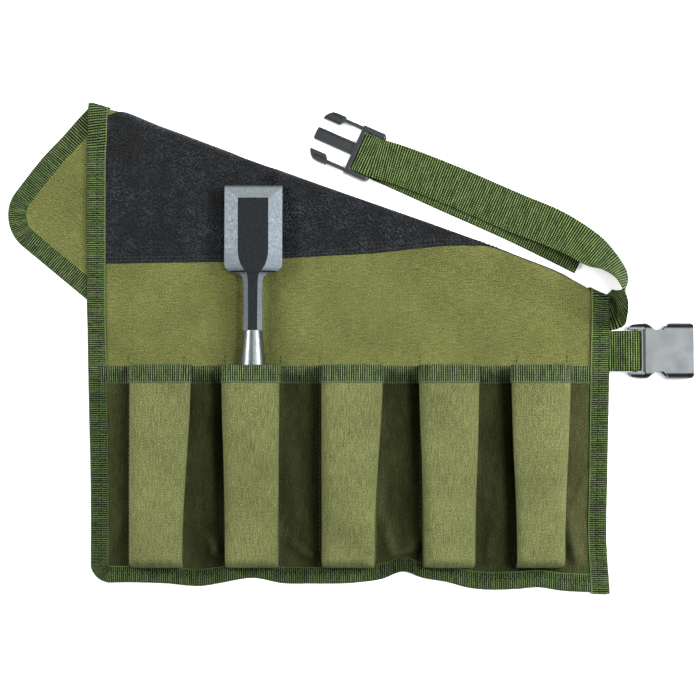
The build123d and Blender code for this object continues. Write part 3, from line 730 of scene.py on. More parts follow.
def rows_down(u, low, high, count):
    """Places on the flat sheet from low to high at that u, closer together at the crease."""
    v = np.linspace(low, high, FINE_STEPS)
    beyond = (v - crease_y(u)) * OUT[1]
    density = 0.5 + 2.2 * np.exp(-((beyond / 4.0) ** 2)) + 0.5 * np.exp(-((beyond / 14.0) ** 2))
    total = running_total((density[1:] + density[:-1]) / 2 * np.diff(v))
    return np.interp(np.linspace(0, total[-1], count), total, v)


def corner_inset(u, edge, radius):
    """How far a round corner at that edge cuts into the sheet's end, at that u."""
    near = np.clip(radius - abs(u - edge), 0, radius)
    return radius - math.sqrt(radius * radius - near * near)


def folded_sheet(columns, low, high, count, middle, thickness):
    """A sheet folded over the crease; low and high give its ends at each column."""
    v = np.stack([rows_down(u, low(u), high(u), count) for u in columns], axis=1)
    u = np.broadcast_to(columns, v.shape)
    upper = lay(u, v, middle + thickness / 2)
    lower = lay(u, v, middle - thickness / 2)
    return shell(upper, lower, np.stack([u, v], axis=-1))


EDGE_GAP = 0.6                 # cloth stops this far inside its tape's outer edge
CANVAS_COLUMNS, CANVAS_ROWS = 166, 250
GUARD_COLUMNS, GUARD_ROWS = 240, 110


def canvas():
    """The main canvas, bottom edge to flap end."""
    columns = np.linspace(LEFT_X + EDGE_GAP, RIGHT_X - EDGE_GAP, CANVAS_COLUMNS)

    def low(u):
        return BOTTOM_Y + EDGE_GAP + corner_inset(u, LEFT_X, BOTTOM_CORNER)

    def high(u):
        rounding = corner_inset(u, LEFT_X, FLAP_CORNER) + corner_inset(u, RIGHT_X, FLAP_CORNER)
        return FLAP_END - EDGE_GAP - rounding

    return folded_sheet(columns, low, high, CANVAS_ROWS, 0.0, CANVAS)


# The leather's hand-cut lower edge on the flat sheet. It runs into the crease on the right.
GUARD_LOW = [
    (-160, 53.2), (-120, 53.9), (-80, 54.5), (-41, 56.6), (0, 59.0), (36, 60.2), (72, 60.0),
    (88, 59.2), (98, 57.4), (110, 53.5), (122, 49.2), (132, 45.6), (142, 43.0), (152, 41.5),
]
# Its upper edge stops short of the crease on the left, where a corner of canvas shows.
GUARD_HIGH = [
    (LEFT_X, 139.4), (LEFT_X + 11.5, 141.2), (LEFT_X + 20, 143.6), (LEFT_X + 30, 146.6),
    (RIGHT_X, 147.3),
]
LEATHER_MIDDLE = CANVAS / 2 + LEATHER / 2
UNDER_TAPE = 4.0               # how far the leather and pocket cloth run in under the side tapes


def guard():
    """The leather blade guard, over the crease and down the flap's underside."""
    left = LEFT_X + TAPE_WIDTH - UNDER_TAPE
    right = RIGHT_X - TAPE_WIDTH + UNDER_TAPE
    columns = np.linspace(left, right, GUARD_COLUMNS)

    def edge(places):
        return lambda u: float(through(places, np.array([u]))[0])

    low, high = edge(GUARD_LOW), edge(GUARD_HIGH)
    return folded_sheet(columns, low, high, GUARD_ROWS, LEATHER_MIDDLE, LEATHER)


# ---- pocket cloth ----
class Pocket:
    """One raised pocket: where it is sewn down and where its front's sides are, top and bottom."""

    def __init__(self, centre, sewn, mouth, foot):
        self.sewn = [centre + place for place in sewn]
        self.mouth = [centre + place for place in mouth]
        self.foot = [centre + place for place in foot]


POCKETS = [
    Pocket(CENTRES[0], (-15.2, 17.0), (-12.9, 25.7), (-12.4, 19.5)),
    Pocket(CENTRES[1], (-15.6, 17.0), (-17.5, 18.0), (-14.6, 16.7)),
    Pocket(CENTRES[2], (-16.6, 16.6), (-16.2, 21.8), (-15.6, 15.0)),
    Pocket(CENTRES[3], (-14.6, 17.3), (-17.6, 20.0), (-13.2, 16.8)),
    Pocket(CENTRES[4], (-14.7, 13.8), (-22.3, 15.8), (-18.2, 10.6)),
]
STRIP_OFFSET = CANVAS          # middle of the pocket cloth above the middle of the canvas
FOOT_RUN = 7.0                 # length over which a pocket's lower end comes down
FOOT_Y = STRIP_END_Y + 5.2     # where it meets the canvas
LEAST_HEIGHT = 0.05            # left there, so that the section keeps its corners
SEWN_ROUND, FRONT_ROUND = 1.4, 5.5   # radii where a wall meets the canvas and the front
CROWN, CROWN_HALF = 1.6, 17.0        # how far a front bulges, and half its width
CROWN_SHARE = 0.2                    # the bulge grows over this topmost share of the walls
ROUND_LIMIT = 0.45                   # a rounding takes up at most this share of each side
VALLEY, ROUND_STEPS, WALL, FRONT = 14, 7, 9, 16   # steps along each stretch of the section
UPRIGHT_ROWS, TURNING_ROWS, FLAT_ROWS = 60, 22, 5   # rows down the pockets, their foot and below
STRIP_RIPPLE = 0.35                  # height of the fronts' slight ripple


def rounded(corners, radii, straights):
    """A line through corners given as arrays of (row, 2), each corner rounded off."""
    def towards(corner, other, reach):
        arm = other - corner
        size = np.linalg.norm(arm, axis=1, keepdims=True)
        return corner + arm / size * np.minimum(reach, size * ROUND_LIMIT)

    line, start = [], corners[0]
    for index, (corner, reach) in enumerate(zip(corners[1:-1], radii), 1):
        enters = towards(corner, corners[index - 1], reach)
        leaves = towards(corner, corners[index + 1], reach)
        for share in np.linspace(0, 1, straights[index - 1], endpoint=False):
            line.append(start + (enters - start) * share)
        for share in np.linspace(0, 1, ROUND_STEPS, endpoint=False):
            rest = 1 - share
            line.append(rest * rest * enters + 2 * rest * share * corner + share * share * leaves)
        start = leaves
    for share in np.linspace(0, 1, straights[-1] + 1):
        line.append(start + (corners[-1] - start) * share)
    return np.stack(line, axis=1)


# Soft folds low in the valleys: (x, y, lean in radians, length, width, height).
SLACK = [
    (-108.0, -118.0, 0.15, 16.0, 4.0, 4.0),
    (-86.0, -122.0, -0.45, 17.0, 4.2, 4.6),
    (-46.0, -116.0, 0.30, 15.0, 4.2, 4.2),
    (-31.0, -124.0, -0.75, 13.0, 4.0, 5.0),
    (25.0, -120.0, -0.25, 17.0, 4.4, 4.4),
    (36.0, -128.0, 0.70, 11.0, 4.0, 4.2),
    (88.0, -118.0, 0.20, 18.0, 4.4, 4.6),
    (139.0, -122.0, -0.20, 17.0, 4.2, 4.0),
]


def strip_section(y):
    """The pocket strip's middle line at each y: (row, place) arrays of x and of height."""
    down = smooth(y, MOUTH_Y, FOOT_Y + FOOT_RUN)
    foot = np.clip((FOOT_Y + FOOT_RUN - y) / FOOT_RUN, 0, 1)
    height = (POCKET_HEIGHT - CANVAS / 2) * np.sqrt(np.maximum(1 - foot ** 2.3, 0)) + LEAST_HEIGHT
    ends = [LEFT_X + TAPE_WIDTH - UNDER_TAPE, RIGHT_X - TAPE_WIDTH + UNDER_TAPE]
    level = np.zeros_like(y)

    def at(x, z):
        return np.stack([np.broadcast_to(x, y.shape), z], axis=1)

    corners, radii, straights = [at(ends[0], level)], [], []
    for pocket in POCKETS:
        left, right = (
            mouth + (foot_place - mouth) * down for mouth, foot_place in zip(pocket.mouth, pocket.foot)
        )
        corners += [at(pocket.sewn[0], level), at(left, height)]
        corners += [at(right, height), at(pocket.sewn[1], level)]
        radii += [SEWN_ROUND, FRONT_ROUND, FRONT_ROUND, SEWN_ROUND]
        straights += [VALLEY, WALL, FRONT, WALL]
    corners.append(at(ends[1], level))
    line = rounded(corners, radii, straights + [VALLEY])
    x, z = line[..., 0], line[..., 1]
    for centre in CENTRES:
        across = np.clip(1 - ((x - centre) / CROWN_HALF) ** 2, 0, 1)
        upper = np.clip(z / height[:, None] - (1 - CROWN_SHARE), 0, CROWN_SHARE) / CROWN_SHARE
        z = z + CROWN * across * upper * (height / POCKET_HEIGHT)[:, None]
    return x, z


def slack_height(x, y):
    """Height of the soft folds that the spare cloth makes at the foot of the valleys."""
    rise = np.zeros(np.broadcast(x, y).shape)
    for fold_x, fold_y, lean, length, width, height in SLACK:
        along = (y - fold_y) * math.cos(lean) + (x - fold_x) * math.sin(lean)
        aside = (x - fold_x) * math.cos(lean) - (y - fold_y) * math.sin(lean)
        rise += height * np.exp(-((along / length) ** 2) - (aside / width) ** 2)
    return rise


def strip_points(y, x, z):
    """Points of the pocket strip in the row frame: its section, standing on the canvas."""
    points = lay(x, y, STRIP_OFFSET)
    straight = smooth(z, 0.0, 3.0)
    points[..., 0] += (x - points[..., 0]) * straight
    points[..., 1] += (y - points[..., 1]) * straight
    points[..., 2] += z + STRIP_RIPPLE * np.sin(y / 19.0 + x / 7.0) * smooth(z, 2.0, 12.0)
    low = (1 - smooth(z, 0.5, 6.0)) * smooth(y, FOOT_Y - 4.0, FOOT_Y + 6.0)
    points[..., 2] += slack_height(x, y) * low
    return points


def pocket_strip():
    """The one strip of cloth that makes all five pockets and the valleys between them."""
    upright = np.linspace(MOUTH_Y - EDGE_GAP, FOOT_Y + FOOT_RUN, UPRIGHT_ROWS)
    turning = FOOT_Y + FOOT_RUN * (1 - np.sin(np.linspace(0, math.pi / 2, TURNING_ROWS)[1:]))
    flat = np.linspace(FOOT_Y, STRIP_END_Y - 3.0, FLAT_ROWS)[1:]
    y = np.concatenate([upright, turning, flat])
    x, z = strip_section(y)
    grid = strip_points(np.broadcast_to(y[:, None], x.shape), x, z)
    along = running_total(np.linalg.norm(np.diff(grid, axis=1), axis=2).mean(axis=0))
    cloth = np.stack(np.broadcast_arrays(along, y[:, None]), axis=-1)
    normal = -grid_normals(grid)
    normal *= np.sign((normal * [0, 0, 1]).sum(axis=-1).mean())
    return shell(grid + normal * CANVAS / 2, grid - normal * CANVAS / 2, cloth)


# ---- tapes ----
RIB = 0.16                     # height of a tape's cross ribs
STEPS_PER_RIB = 4
FRONT_POINTS = 12              # how many points of a tape's section are on its front
FOLD_SLACK = 0.03              # gap between the cloth and the tape folded over it


def tape_section(width, front, back):
    """Points round a folded tape, starting at the free edge of its front.

    Each is (distance in from the folded edge, offset from the cloth's middle, ribbed share).
    """
    inner = CANVAS / 2 + FOLD_SLACK
    front_side = [
        (width, front - 0.25, 0.0), (width - 0.25, front - 0.02, 0.0), (width - 0.9, front + 0.1, 0.3),
        (width - 1.5, front, 1.0), (width * 0.62, front, 1.0), (width * 0.58, front - 0.2, 0.2),
        (width * 0.54, front - 0.2, 0.2), (width * 0.5, front, 1.0), (width * 0.25, front, 1.0),
        (1.0, front - 0.05, 1.0), (0.25, front * 0.6, 1.0), (-0.1, (front + back) / 2, 1.0),
    ]
    back_side = [(0.4, back * 0.8, 1.0), (1.2, back, 1.0), (width / 2, back, 1.0), (width - 0.4, back, 0.5)]
    inside = [(width, back + 0.2, 0.0), (width, -inner, 0.0), (0.8, -inner, 0.0), (0.8, inner, 0.0)]
    return front_side + back_side + inside


def ribs(along, pitch):
    """Height of even cross ribs, from 0 to 1, at those lengths."""
    return 0.5 + 0.5 * np.cos(2 * math.pi * along / pitch)


def ribbed_tape(place, length, section):
    """A tape folded over an edge; place(along, inset, offset) gives its points."""
    along = np.linspace(0, length, int(length / TAPE_PITCH * STEPS_PER_RIB) + 1)
    rib = ribs(along, TAPE_PITCH)
    rings, flat = [], []
    for index, (inset, offset, share) in enumerate(section):
        raised = offset + math.copysign(RIB * share, offset) * rib
        across = inset if index < FRONT_POINTS else -inset
        rings.append(place(along, inset, raised))
        flat.append(np.stack([along, np.full_like(along, across)], axis=-1))
    return tube(np.stack(rings, axis=1), np.stack(flat, axis=1))


class Outline:
    """A line on the flat sheet, of straight runs and round corners, walked by its length."""

    REACH = 0.6                # how far ahead and behind it looks for its direction

    def __init__(self, points):
        self.points = np.array(points, float)
        self.at = lengths_along(self.points)
        self.length = self.at[-1]

    def walk(self, along, inset):
        """Points at those lengths, moved in from the edge."""
        ahead = read_at(along + self.REACH, self.at, self.points)
        behind = read_at(along - self.REACH, self.at, self.points)
        heading = unit(ahead - behind)
        inward = np.stack([heading[:, 1], -heading[:, 0]], axis=-1)
        return read_at(along, self.at, self.points) + inward * inset

    def place(self, along, inset, offset):
        flat = self.walk(along, inset)
        return lay(flat[:, 0], flat[:, 1], offset)


def arc(centre_x, centre_y, radius, start, end):
    """Points along part of a circle, angles in degrees."""
    angles = np.radians(np.linspace(start, end, 24))
    return [(centre_x + radius * math.cos(a), centre_y + radius * math.sin(a)) for a in angles]


# Clockwise round the flat sheet, so that the cloth is on the right of the way walked.
LONG_EDGE = Outline(
    [(RIGHT_X - 1.0, BOTTOM_Y)]
    + arc(LEFT_X + BOTTOM_CORNER, BOTTOM_Y + BOTTOM_CORNER, BOTTOM_CORNER, 270, 180)
    + arc(LEFT_X + FLAP_CORNER, FLAP_END - FLAP_CORNER, FLAP_CORNER, 180, 90)
    + arc(RIGHT_X - FLAP_CORNER, FLAP_END - FLAP_CORNER, FLAP_CORNER, 90, 0)
)
RIGHT_EDGE = Outline([(RIGHT_X, FLAP_END - FLAP_CORNER - 1.0), (RIGHT_X, BOTTOM_Y - 1.0)])
FRONT_LIP = LEATHER_MIDDLE + LEATHER / 2 + 0.2
BACK_LIP = -0.6
OVERLAP_RISE = 0.45            # the side tape lies this much higher, over the bottom tape's end
EDGE_SECTION = tape_section(TAPE_WIDTH, FRONT_LIP, BACK_LIP)
OVER_SECTION = tape_section(TAPE_WIDTH + 0.3, FRONT_LIP + OVERLAP_RISE, BACK_LIP)


# ---- stitches ----
STITCH_RINGS, STITCH_SIDES = 7, 6


def stitches(centres, headings, normals, length, thickness):
    """Short lengths of thread, each arching out of the cloth and back into it."""
    rings, around = STITCH_RINGS, STITCH_SIDES
    share = np.linspace(-1, 1, rings)
    # It stands 0.4 of its thickness out of the cloth in the middle and sinks 0.35 in at its ends.
    rise = 0.75 * thickness * (1 - share ** 2) - 0.35 * thickness
    radius = thickness / 2 * np.sqrt(np.clip(1.08 - share ** 4, 0.02, 1))
    angle = np.arange(around) * 2 * math.pi / around
    along = np.repeat(share * length / 2, around)
    up = np.repeat(rise, around) + np.outer(radius, np.sin(angle)).ravel()
    side = np.outer(radius, np.cos(angle)).ravel()
    sideways = np.cross(headings, normals)
    points = (
        centres[:, None] + headings[:, None] * along[None, :, None]
        + normals[:, None] * up[None, :, None] + sideways[:, None] * side[None, :, None]
    )
    one = tube(np.zeros((rings, around, 3)), np.zeros((rings, around, 2)))
    faces = one.faces[None] + (np.arange(len(centres)) * rings * around)[:, None, None]
    cloth = np.stack([np.tile(along, len(centres)), np.tile(side, len(centres))], axis=-1)
    groups = np.zeros(len(centres) * len(one.faces), int)
    places = np.repeat(centres[:, 0], len(one.faces))
    return Shape(points.reshape(-1, 3), faces.reshape(-1, 4), cloth, groups, places).facing_out()


def seam(points, normals, pitch, length, thickness):
    """A row of stitches along a line of points."""
    at = lengths_along(points)
    middles = np.arange(pitch / 2, at[-1], pitch)
    ahead = read_at(middles + pitch / 4, at, points)
    behind = read_at(middles - pitch / 4, at, points)
    headings = unit(ahead - behind)
    upward = square_to(headings, read_at(middles, at, normals))
    return stitches(read_at(middles, at, points), headings, upward, length, thickness)


def flat_seam(u, v, offset, pitch=3.1, length=2.3, thickness=0.55):
    """A row of stitches along a line on the flat sheet."""
    points = lay(u, v, offset)
    normals = (lay(u, v, offset + 0.2) - lay(u, v, offset - 0.2)) * math.copysign(1, offset)
    return seam(points, normals, pitch, length, thickness)


SEAM_START, SEAM_STEP = 2.0, 0.8   # a tape's seam starts this far from its end, in such steps


def edge_seam(outline, inset, offset):
    """Stitches all along an edge tape, on one of its faces."""
    along = np.arange(SEAM_START, outline.length - SEAM_START, SEAM_STEP)
    flat = outline.walk(along, np.full_like(along, inset)[:, None])
    return flat_seam(flat[:, 0], flat[:, 1], offset)


# ---- putting the cloth together ----
SEAM_INSET = TAPE_WIDTH * 0.56     # how far in from the tape's outer edge its seam runs

canvas_pieces = across_sections("canvas", canvas(), CANVAS_LOOK)
guard_pieces = across_sections("leather_guard", guard(), LEATHER_LOOK)
strip_pieces = across_sections("pocket_cloth", pocket_strip(), POCKET_LOOK)
edge_tape = ribbed_tape(LONG_EDGE.place, LONG_EDGE.length, EDGE_SECTION)
edge_pieces = across_sections("edge_tape", edge_tape, TAPE_LOOK)


def mouth_tape():
    """The tape folded over the mouths of all the pockets, following their section."""
    def section_at(y):
        x, z = strip_section(np.array([y]))
        return np.stack([x[0], z[0]], axis=-1)

    at = lengths_along(section_at(MOUTH_Y - MOUTH_TAPE_WIDTH / 2))

    def place(along, inset, offset):
        section = read_at(along, at, section_at(MOUTH_Y - inset))
        heading = unit(np.gradient(section, axis=0))
        out = np.stack([-heading[:, 1], heading[:, 0]], axis=-1)
        moved = section + out * np.broadcast_to(offset, along.shape)[:, None]
        return strip_points(np.full_like(along, MOUTH_Y - inset), moved[:, 0], moved[:, 1])

    section = tape_section(MOUTH_TAPE_WIDTH, CANVAS / 2 + 0.55, -CANVAS / 2 - 0.5)
    return ribbed_tape(place, at[-1], section)


mouth_pieces = across_sections("mouth_tape", mouth_tape(), MOUTH_LOOK)


def last_two(name, shape, material):
    """The side tape or its seam, which lie only on the last two sections."""
    piece = make(name, shape, material)
    bend(piece, 4)
    return piece


side_tape = ribbed_tape(RIGHT_EDGE.place, RIGHT_EDGE.length, OVER_SECTION)
side_piece = last_two("side_tape", side_tape, TAPE_LOOK)
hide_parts("side_binding_4", "side_binding_5")


# ---- seams ----
SEAM_OUT = 1.3                 # how far outside its pocket's wall a seam runs
BACK_TACK = 7.0                # how far above the mouth it starts
GUARD_SEAM_END = 92.0          # the guard's seam ends at this x, short of the crease
GUARD_ROWS_UP = (1.2, 3.4)     # and its two rows run this far above the guard's lower edge


def pocket_seams():
    """The two rows of stitches that hold each pocket down, with a back-tack above the mouth."""
    above = np.linspace(MOUTH_Y + BACK_TACK, MOUTH_Y + 1.2, 8)
    down = np.linspace(MOUTH_Y - MOUTH_TAPE_WIDTH, STRIP_END_Y + 1.0, 160)
    rows = []
    for pocket in POCKETS:
        for x in (pocket.sewn[0] - SEAM_OUT, pocket.sewn[1] + SEAM_OUT):
            tack = flat_seam(np.full_like(above, x), above, CANVAS / 2 + 0.05, 2.6, 2.1, 0.6)
            rows += [tack, flat_seam(np.full_like(down, x), down, CANVAS * 1.5 + 0.05, pitch=3.0)]
    return joined(rows)


def guard_seams():
    """Two rows of stitches along the leather's lower edge."""
    u = np.linspace(LEFT_X + TAPE_WIDTH, GUARD_SEAM_END, 300)
    v = through(GUARD_LOW, u)
    face = LEATHER_MIDDLE + LEATHER / 2
    return joined([flat_seam(u, v + up, face, 2.7, 2.0, 0.5) for up in GUARD_ROWS_UP])


pocket_threads = across_sections("pocket_seam", pocket_seams(), DARK_THREAD)
guard_threads = across_sections("guard_seam", guard_seams(), BLACK_THREAD)
edge_shape = edge_seam(LONG_EDGE, SEAM_INSET, FRONT_LIP - 0.1)
edge_threads = across_sections("edge_seam", edge_shape, GREEN_THREAD)
last_two("side_seam", edge_seam(RIGHT_EDGE, SEAM_INSET, FRONT_LIP + 0.35), GREEN_THREAD)

for pieces, node in (
    (canvas_pieces, "canvas_body"), (guard_pieces, "blade_guard"), (strip_pieces, "pocket_strip"),
    (edge_pieces, "edge_binding"), (mouth_pieces, "mouth_binding"),
):
    for number, piece in enumerate(pieces, 1):
        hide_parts(f"{node}_{number}", f"{node}_{number + 1}")
for number, piece in enumerate(canvas_pieces):
    declare(piece)
    declare(guard_pieces[number])
    declare(strip_pieces[number])


# ---- webbing ----
WEBBING = 1.3                  # thickness
WEBBING_WIDTH = 25.0
WEB_RIB = 0.2                  # height of its ribs
WEB_EDGE = 0.15                # how far they reach past its sides
WEB_POINTS = 15                # points across each of its faces
UNDERSIDE = 40.0               # where the pattern of the lower face lies beside that of the upper


def curve_through(points, step):
    """Even steps along a smooth curve through points, whose first three values are a place."""
    points = np.array(points, float)
    knots = running_total(np.linalg.norm(np.diff(points[:, :3], axis=0), axis=1) ** 0.75)
    fine = np.linspace(0, knots[-1], 4000)
    line = np.stack([through(np.stack([knots, values], axis=1), fine) for values in points.T], axis=1)
    at = lengths_along(line[:, :3])
    even = np.linspace(0, at[-1], int(at[-1] / step) + 1)
    return read_at(even, at, line), even


def webbing(stations):
    """Ribbed webbing along stations of (middle, direction across, width)."""
    stations = [[*middle, *across, width] for middle, across, width in stations]
    line, along = curve_through(stations, WEB_PITCH / 4)
    middle, width = line[:, :3], line[:, 6]
    heading = unit(np.gradient(middle, axis=0))
    across = square_to(heading, line[:, 3:6])
    up = np.cross(across, heading)
    rib = ribs(along, WEB_PITCH)
    half = WEBBING / 2 - WEB_RIB
    rings, flat = [], []
    for face in (1, -1):
        for place in np.linspace(-1, 1, WEB_POINTS) * face:
            at_side = abs(place) > 0.99
            thick = face * np.where(at_side, half / 2, half + WEB_RIB * rib)
            side = place * (width / 2 + np.where(at_side, WEB_EDGE * rib, 0.0))
            rings.append(middle + across * side[:, None] + up * thick[:, None])
            flat.append(np.stack([along, place * width / 2 + UNDERSIDE * (face < 0)], axis=-1))
    return tube(np.stack(rings, axis=1), np.stack(flat, axis=1))


male_tilt = joints["male_buckle_tilt"]
MALE_BAR = np.array(male_tilt["pos_m"]) / MM
MALE_HEADING = np.array([male_tilt["axis"][1], -male_tilt["axis"][0], 0.0])
MALE_ACROSS = -np.array(male_tilt["axis"])

# The strap's end under the side tape, drawn together by the seam: (middle, direction across, width).
STRAP_SEWN = [
    ((159.8, 22.0, 1.5), (0.0, 1.0, 0.0), 22.4),
    ((162.0, 22.4, 1.7), (-0.1, 0.99, 0.0), 22.4),
    ((165.8, 23.8, 3.4), (-0.30, 0.95, -0.1), 22.8),
]
# From there over its loop towards the buckle: (middle, direction across).
STRAP_RUN = [
    ((168.4, 28.5, 10.4), (-0.22, 0.65, -0.72)), ((170.6, 35.5, 13.4), (0.16, 0.42, -0.89)),
    ((168.6, 45.0, 14.2), (0.40, 0.24, -0.88)), ((162.0, 52.8, 13.2), (0.57, 0.33, -0.75)),
    ((153.6, 58.9, 11.2), (0.50, 0.68, -0.53)), ((141.3, 67.6, 8.2), (0.49, 0.80, -0.35)),
    ((126.0, 76.0, 5.6), (0.45, 0.88, -0.15)), ((105.0, 84.8, 3.2), (0.42, 0.91, 0.0)),
    ((60.0, 104.4, 2.9), (0.38, 0.925, 0.0)), ((29.0, 116.0, 4.0), (0.38, 0.925, 0.0)),
]
# The free end, lying flat under the strap.
TAIL_RUN = [
    ((60.0, 99.5, 1.0), (0.40, 0.917, 0.0)), ((105.0, 79.3, 1.0), (0.42, 0.907, 0.0)),
    ((146.7, 58.7, 1.0), (0.43, 0.903, 0.0)),
]
BAR_RADIUS = 2.1               # middle of the webbing where it goes round a bar


def full_width(places):
    """Stations of webbing as wide as it is woven, from (middle, direction across)."""
    return [(middle, across, WEBBING_WIDTH) for middle, across in places]


def round_bar(bar, heading, across, spare=0.0):
    """Places half way round a bar; heading points from the webbing's run to the bar's far side."""
    places = []
    for turn in np.radians(range(0, 181, 30)):
        reach = (BAR_RADIUS + spare) * math.sin(turn)
        places.append((bar + heading * reach + [0, 0, BAR_RADIUS * math.cos(turn)], across))
    return places


def long_strap():
    """The strap from the side tape, over its loop and round the male buckle's bar."""
    behind = MALE_BAR - MALE_HEADING * 8.0 + [0, 0, BAR_RADIUS]
    under = MALE_BAR - MALE_HEADING * 5.0
    under[2] = 1.1
    places = STRAP_RUN + [(behind, MALE_ACROSS)]
    places += round_bar(MALE_BAR, MALE_HEADING, MALE_ACROSS) + [(under, MALE_ACROSS)]
    return webbing(STRAP_SEWN + full_width(places))


def strap_tail():
    """The free end, from under the buckle's bar."""
    under = MALE_BAR - MALE_HEADING * 4.6
    under[2] = 1.15
    return webbing(full_width([(under, MALE_ACROSS)] + TAIL_RUN))


strap_piece = make("strap", long_strap(), WEBBING_LOOK)
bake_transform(strap_piece)
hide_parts("webbing_strap", "strap_sewn_end")
tail_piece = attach(make("strap_tail", strap_tail(), WEBBING_LOOK), "strap")

FEMALE_BAR = np.array(joints["female_buckle_tilt"]["pos_m"]) / MM
LOOP_SPARE = 1.2               # how much further the loop reaches round its bar than it needs to
TAPE_TUCK = 0.6                # how far inside the tape's outer edge the loop's ends begin


def buckle_loop():
    """The sewn stub of webbing round the female buckle's bar."""
    toward, across = np.array([1.0, 0.0, 0.0]), (0.0, 1.0, 0.0)
    bar_x, y = FEMALE_BAR[:2]
    start = RIGHT_X - TAPE_TUCK
    over = [(start, y, 1.6), (RIGHT_X + 4.0, y, 3.2), (bar_x - 6.0, y, 6.6)]
    back = [(bar_x - 7.0, y, 1.3), (start, y, 0.75)]
    places = [(middle, across) for middle in over]
    places += round_bar(FEMALE_BAR, toward, across, LOOP_SPARE)
    places += [(middle, across) for middle in back]
    return webbing(full_width(places))


loop_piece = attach(make("buckle_loop", buckle_loop(), WEBBING_LOOK), "section_5")
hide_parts("buckle_webbing")
for piece, held, rests_on in (
    (strap_piece, "folded", "strap_tail"),
    (tail_piece, "laid", "floor"),
    (loop_piece, "folded", "female_buckle"),
):
    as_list(rests_on)


# ---- buckles and chisel ----
def soften(part, width, segments, degrees):
    """Rounds off the edges of a part that turn by more than those degrees."""
    bevel = part.modifiers.new("soften", "BEVEL")
    bevel.width, bevel.segments = width * MM, segments
    bevel.limit_method, bevel.angle_limit = "ANGLE", math.radians(degrees)


def dressed(node, material):
    """A CAD node with its finish."""
    part = frame["nodes"][node]
    part.data.materials.clear()
    part.data.materials.append(material)
    return part


blade_low, blade_high = box("chisel_blade")
BLADE_X, _, BLADE_Z = (blade_low + blade_high) / 2
EDGE_Y, BLADE_HALF = blade_high[1], (blade_high[0] - blade_low[0]) / 2
BEVEL_LENGTH, HONED_LENGTH = 8.0, 1.1    # the front bevel, and its honed strip at the edge
FACE_HALF, BEVEL_HALF = 9.5, 14.0        # half widths of the dark flat face and the pale bevel
# Along the blade, from the cutting edge back: (y, half width, half width of its flat face,
# height of that face, height of the back, height of the upright sides' lower and upper ends).
BLADE_STATIONS = [
    (EDGE_Y, BLADE_HALF, BLADE_HALF - 0.05, -2.05, -2.3, -2.3, -2.1),
    (EDGE_Y - HONED_LENGTH, BLADE_HALF, BLADE_HALF - 0.1, -1.55, -2.3, -2.3, -1.6),
    (EDGE_Y - BEVEL_LENGTH, BLADE_HALF, FACE_HALF, 2.3, -2.3, -2.3, -1.5),
    (EDGE_Y - BEVEL_LENGTH - 0.5, BLADE_HALF, FACE_HALF, 2.3, -2.3, -2.3, -1.5),
    (62.0, BLADE_HALF, FACE_HALF, 2.3, -2.3, -2.3, -1.5),
    (58.0, BLADE_HALF, 9.3, 2.3, -2.3, -2.3, -1.5),
    (54.5, BLADE_HALF, 8.6, 2.3, -2.3, -2.3, -1.5), (51.6, BLADE_HALF, 7.6, 2.35, -2.3, -2.3, -1.5),
    (49.6, 17.3, 6.4, 2.5, -2.4, -2.3, -1.3), (48.0, 15.4, 5.2, 2.7, -2.6, -2.2, -1.1),
    (46.9, 12.4, 4.3, 2.9, -2.8, -2.1, -0.9), (45.9, 8.8, 3.8, 3.15, -3.1, -1.9, -0.3),
    (44.2, 6.7, 3.4, 3.5, -3.5, -1.7, 0.5), (41.0, 5.9, 3.1, 3.8, -3.8, -1.6, 1.2),
    (35.0, 5.7, 3.0, 4.0, -4.0, -1.6, 1.6), (24.0, 5.6, 2.9, 4.2, -4.2, -1.7, 1.8),
    (16.0, 5.8, 2.9, 4.7, -4.7, -2.0, 2.2), (10.5, 6.0, 3.0, 5.2, -5.2, -2.3, 2.6),
]
FLAT_BACK = -2.35              # the back is flat and full width where it's above this


def blade():
    """The chisel's blade and neck, as sections along it."""
    rings = []
    for y, half, face, top, back, low, high in BLADE_STATIONS:
        base = half if back > FLAT_BACK else face + (half - face) * 0.3
        right = [(base, back), (half, low), (half, high), (face, top), (face * 0.4, top + 0.04)]
        outline = [(-base, back)] + right + [(-x, z) for x, z in right[:0:-1]]
        rings.append([(BLADE_X + x, y, BLADE_Z + z) for x, z in outline])
    rings = np.array(rings)
    return tube(rings, np.zeros(rings.shape[:2] + (2,)))


def make_blade():
    """The blade with its ground sides, dark scale down the middle and honed front bevel."""
    shape = blade()
    made = make("blade", shape, STEEL_LOOK)
    made.data.materials.append(SCALE_LOOK)
    made.data.materials.append(BEVEL_LOOK)
    corners = shape.points[shape.faces]
    x, y, _ = corners.mean(axis=1).T
    aside = np.abs(x - BLADE_X)
    upward = unit(np.cross(corners[:, 2] - corners[:, 0], corners[:, 3] - corners[:, 1]))[:, 2] > 0.8
    front, honed = y > EDGE_Y - BEVEL_LENGTH, y > EDGE_Y - HONED_LENGTH
    scale, bevel = 1, 2
    looks = np.where(upward & ~front & (aside < FACE_HALF), scale, 0)
    looks = np.where(upward & front & ~honed & (aside < BEVEL_HALF), bevel, looks)
    made.data.polygons.foreach_set("material_index", looks.astype(np.int32))
    made.data.polygons.foreach_set("use_smooth", np.zeros(len(looks), bool))
    soften(made, 0.18, 2, 14)
    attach(made, "chisel")
    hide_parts("chisel_blade")


make_blade()
for node in ("female_buckle", "male_buckle_frame", "male_prong_lower", "male_prong_upper"):
    soften(dressed(node, PLASTIC_LOOK), 0.35, 3, 35)
dressed("chisel_ferrule", FERRULE_LOOK)
dressed("chisel_handle", WOOD_LOOK)
dressed("chisel_hoop", IRON_LOOK)


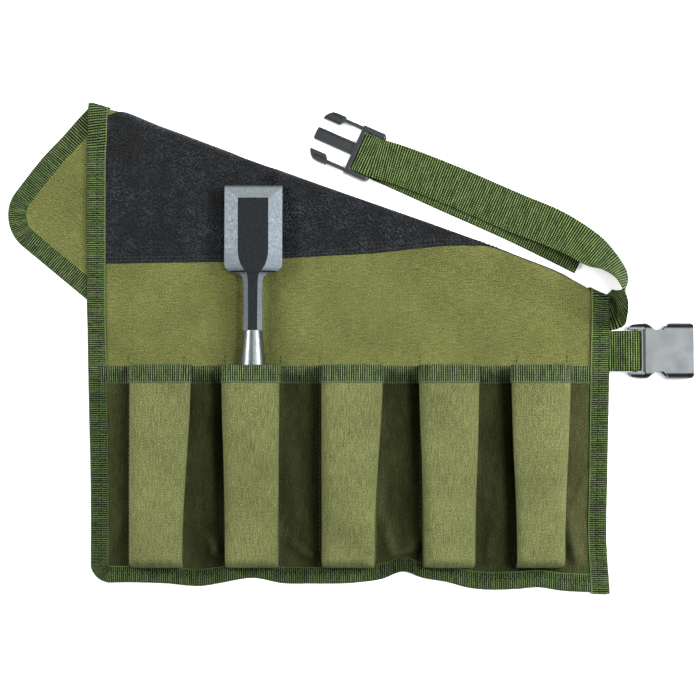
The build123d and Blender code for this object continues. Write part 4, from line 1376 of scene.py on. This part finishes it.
# ---- floor, lights and camera ----
FLOOR_HALF = 4.0               # metres
FLOOR_DROP = 0.0002            # the table lies this far, in metres, under the roll
SKY_BLUE = (0.9, 0.97, 1.0)


def floor():
    """A plain pale table top that glows faintly: painted light that pales the shadows cast on it."""
    mesh = bpy.data.meshes.new("floor")
    corners = [(FLOOR_HALF * x, FLOOR_HALF * y, 0) for x, y in ((-1, -1), (1, -1), (1, 1), (-1, 1))]
    mesh.from_pydata(corners, [], [(0, 1, 2, 3)])
    look = Look("floor")
    # Painted light: the floor glows, so the shadows cast on it come out paler.
    painted_floor_glow = {"Emission_Color": (1, 1, 1, 1), "Emission_Strength": 0.35}
    mesh.materials.append(look.finish((0.93, 0.93, 0.93, 1), 0.9, Specular_IOR_Level=0.1, **painted_floor_glow))
    made = bpy.data.objects.new("floor", mesh)
    made.location.z = -FLOOR_DROP
    bpy.context.scene.collection.objects.link(made)


def softbox(name, place, size, power, colour=(1.0, 1.0, 1.0)):
    """A square area light aimed at the middle of the roll."""
    light = bpy.data.lights.new(name, "AREA")
    light.energy, light.size, light.color = power, size, colour
    made = bpy.data.objects.new(name, light)
    made.location = place
    made.rotation_euler = (-Vector(place)).to_track_quat("-Z", "Y").to_euler()
    bpy.context.scene.collection.objects.link(made)


floor()
softbox("left", (-1.25, 0.40, 0.90), 0.5, 27.0)
softbox("right", (1.25, 0.30, 0.88), 0.5, 36.0)
softbox("overhead", (0.44, 0.05, 1.25), 0.26, 11.0, SKY_BLUE)
softbox("back", (0.0, 0.42, 1.25), 0.36, 1.0, SKY_BLUE)
world = bpy.data.worlds.new("studio")
world.use_nodes = True
background = world.node_tree.nodes["Background"].inputs
background["Color"].default_value = (1, 1, 1, 1)
background["Strength"].default_value = 0.22
scene = bpy.context.scene
scene.world = world
scene.view_settings.view_transform = "Standard"

VIEW_WIDTH = 0.4396            # width of the table that the picture takes in
TILT = math.radians(2.6)       # the camera looks this much off straight down
lens = bpy.data.cameras.new("camera")
lens.lens, lens.sensor_width = 85.0, 36.0
camera = bpy.data.objects.new("camera", lens)
distance = VIEW_WIDTH * lens.lens / lens.sensor_width
aim = Vector((0.0, -0.0008, 0.0))
camera.location = aim + Vector((0.0, -math.sin(TILT), math.cos(TILT))) * distance
camera.rotation_euler = (TILT, 0.0, 0.0)
scene.collection.objects.link(camera)
scene.camera = camera
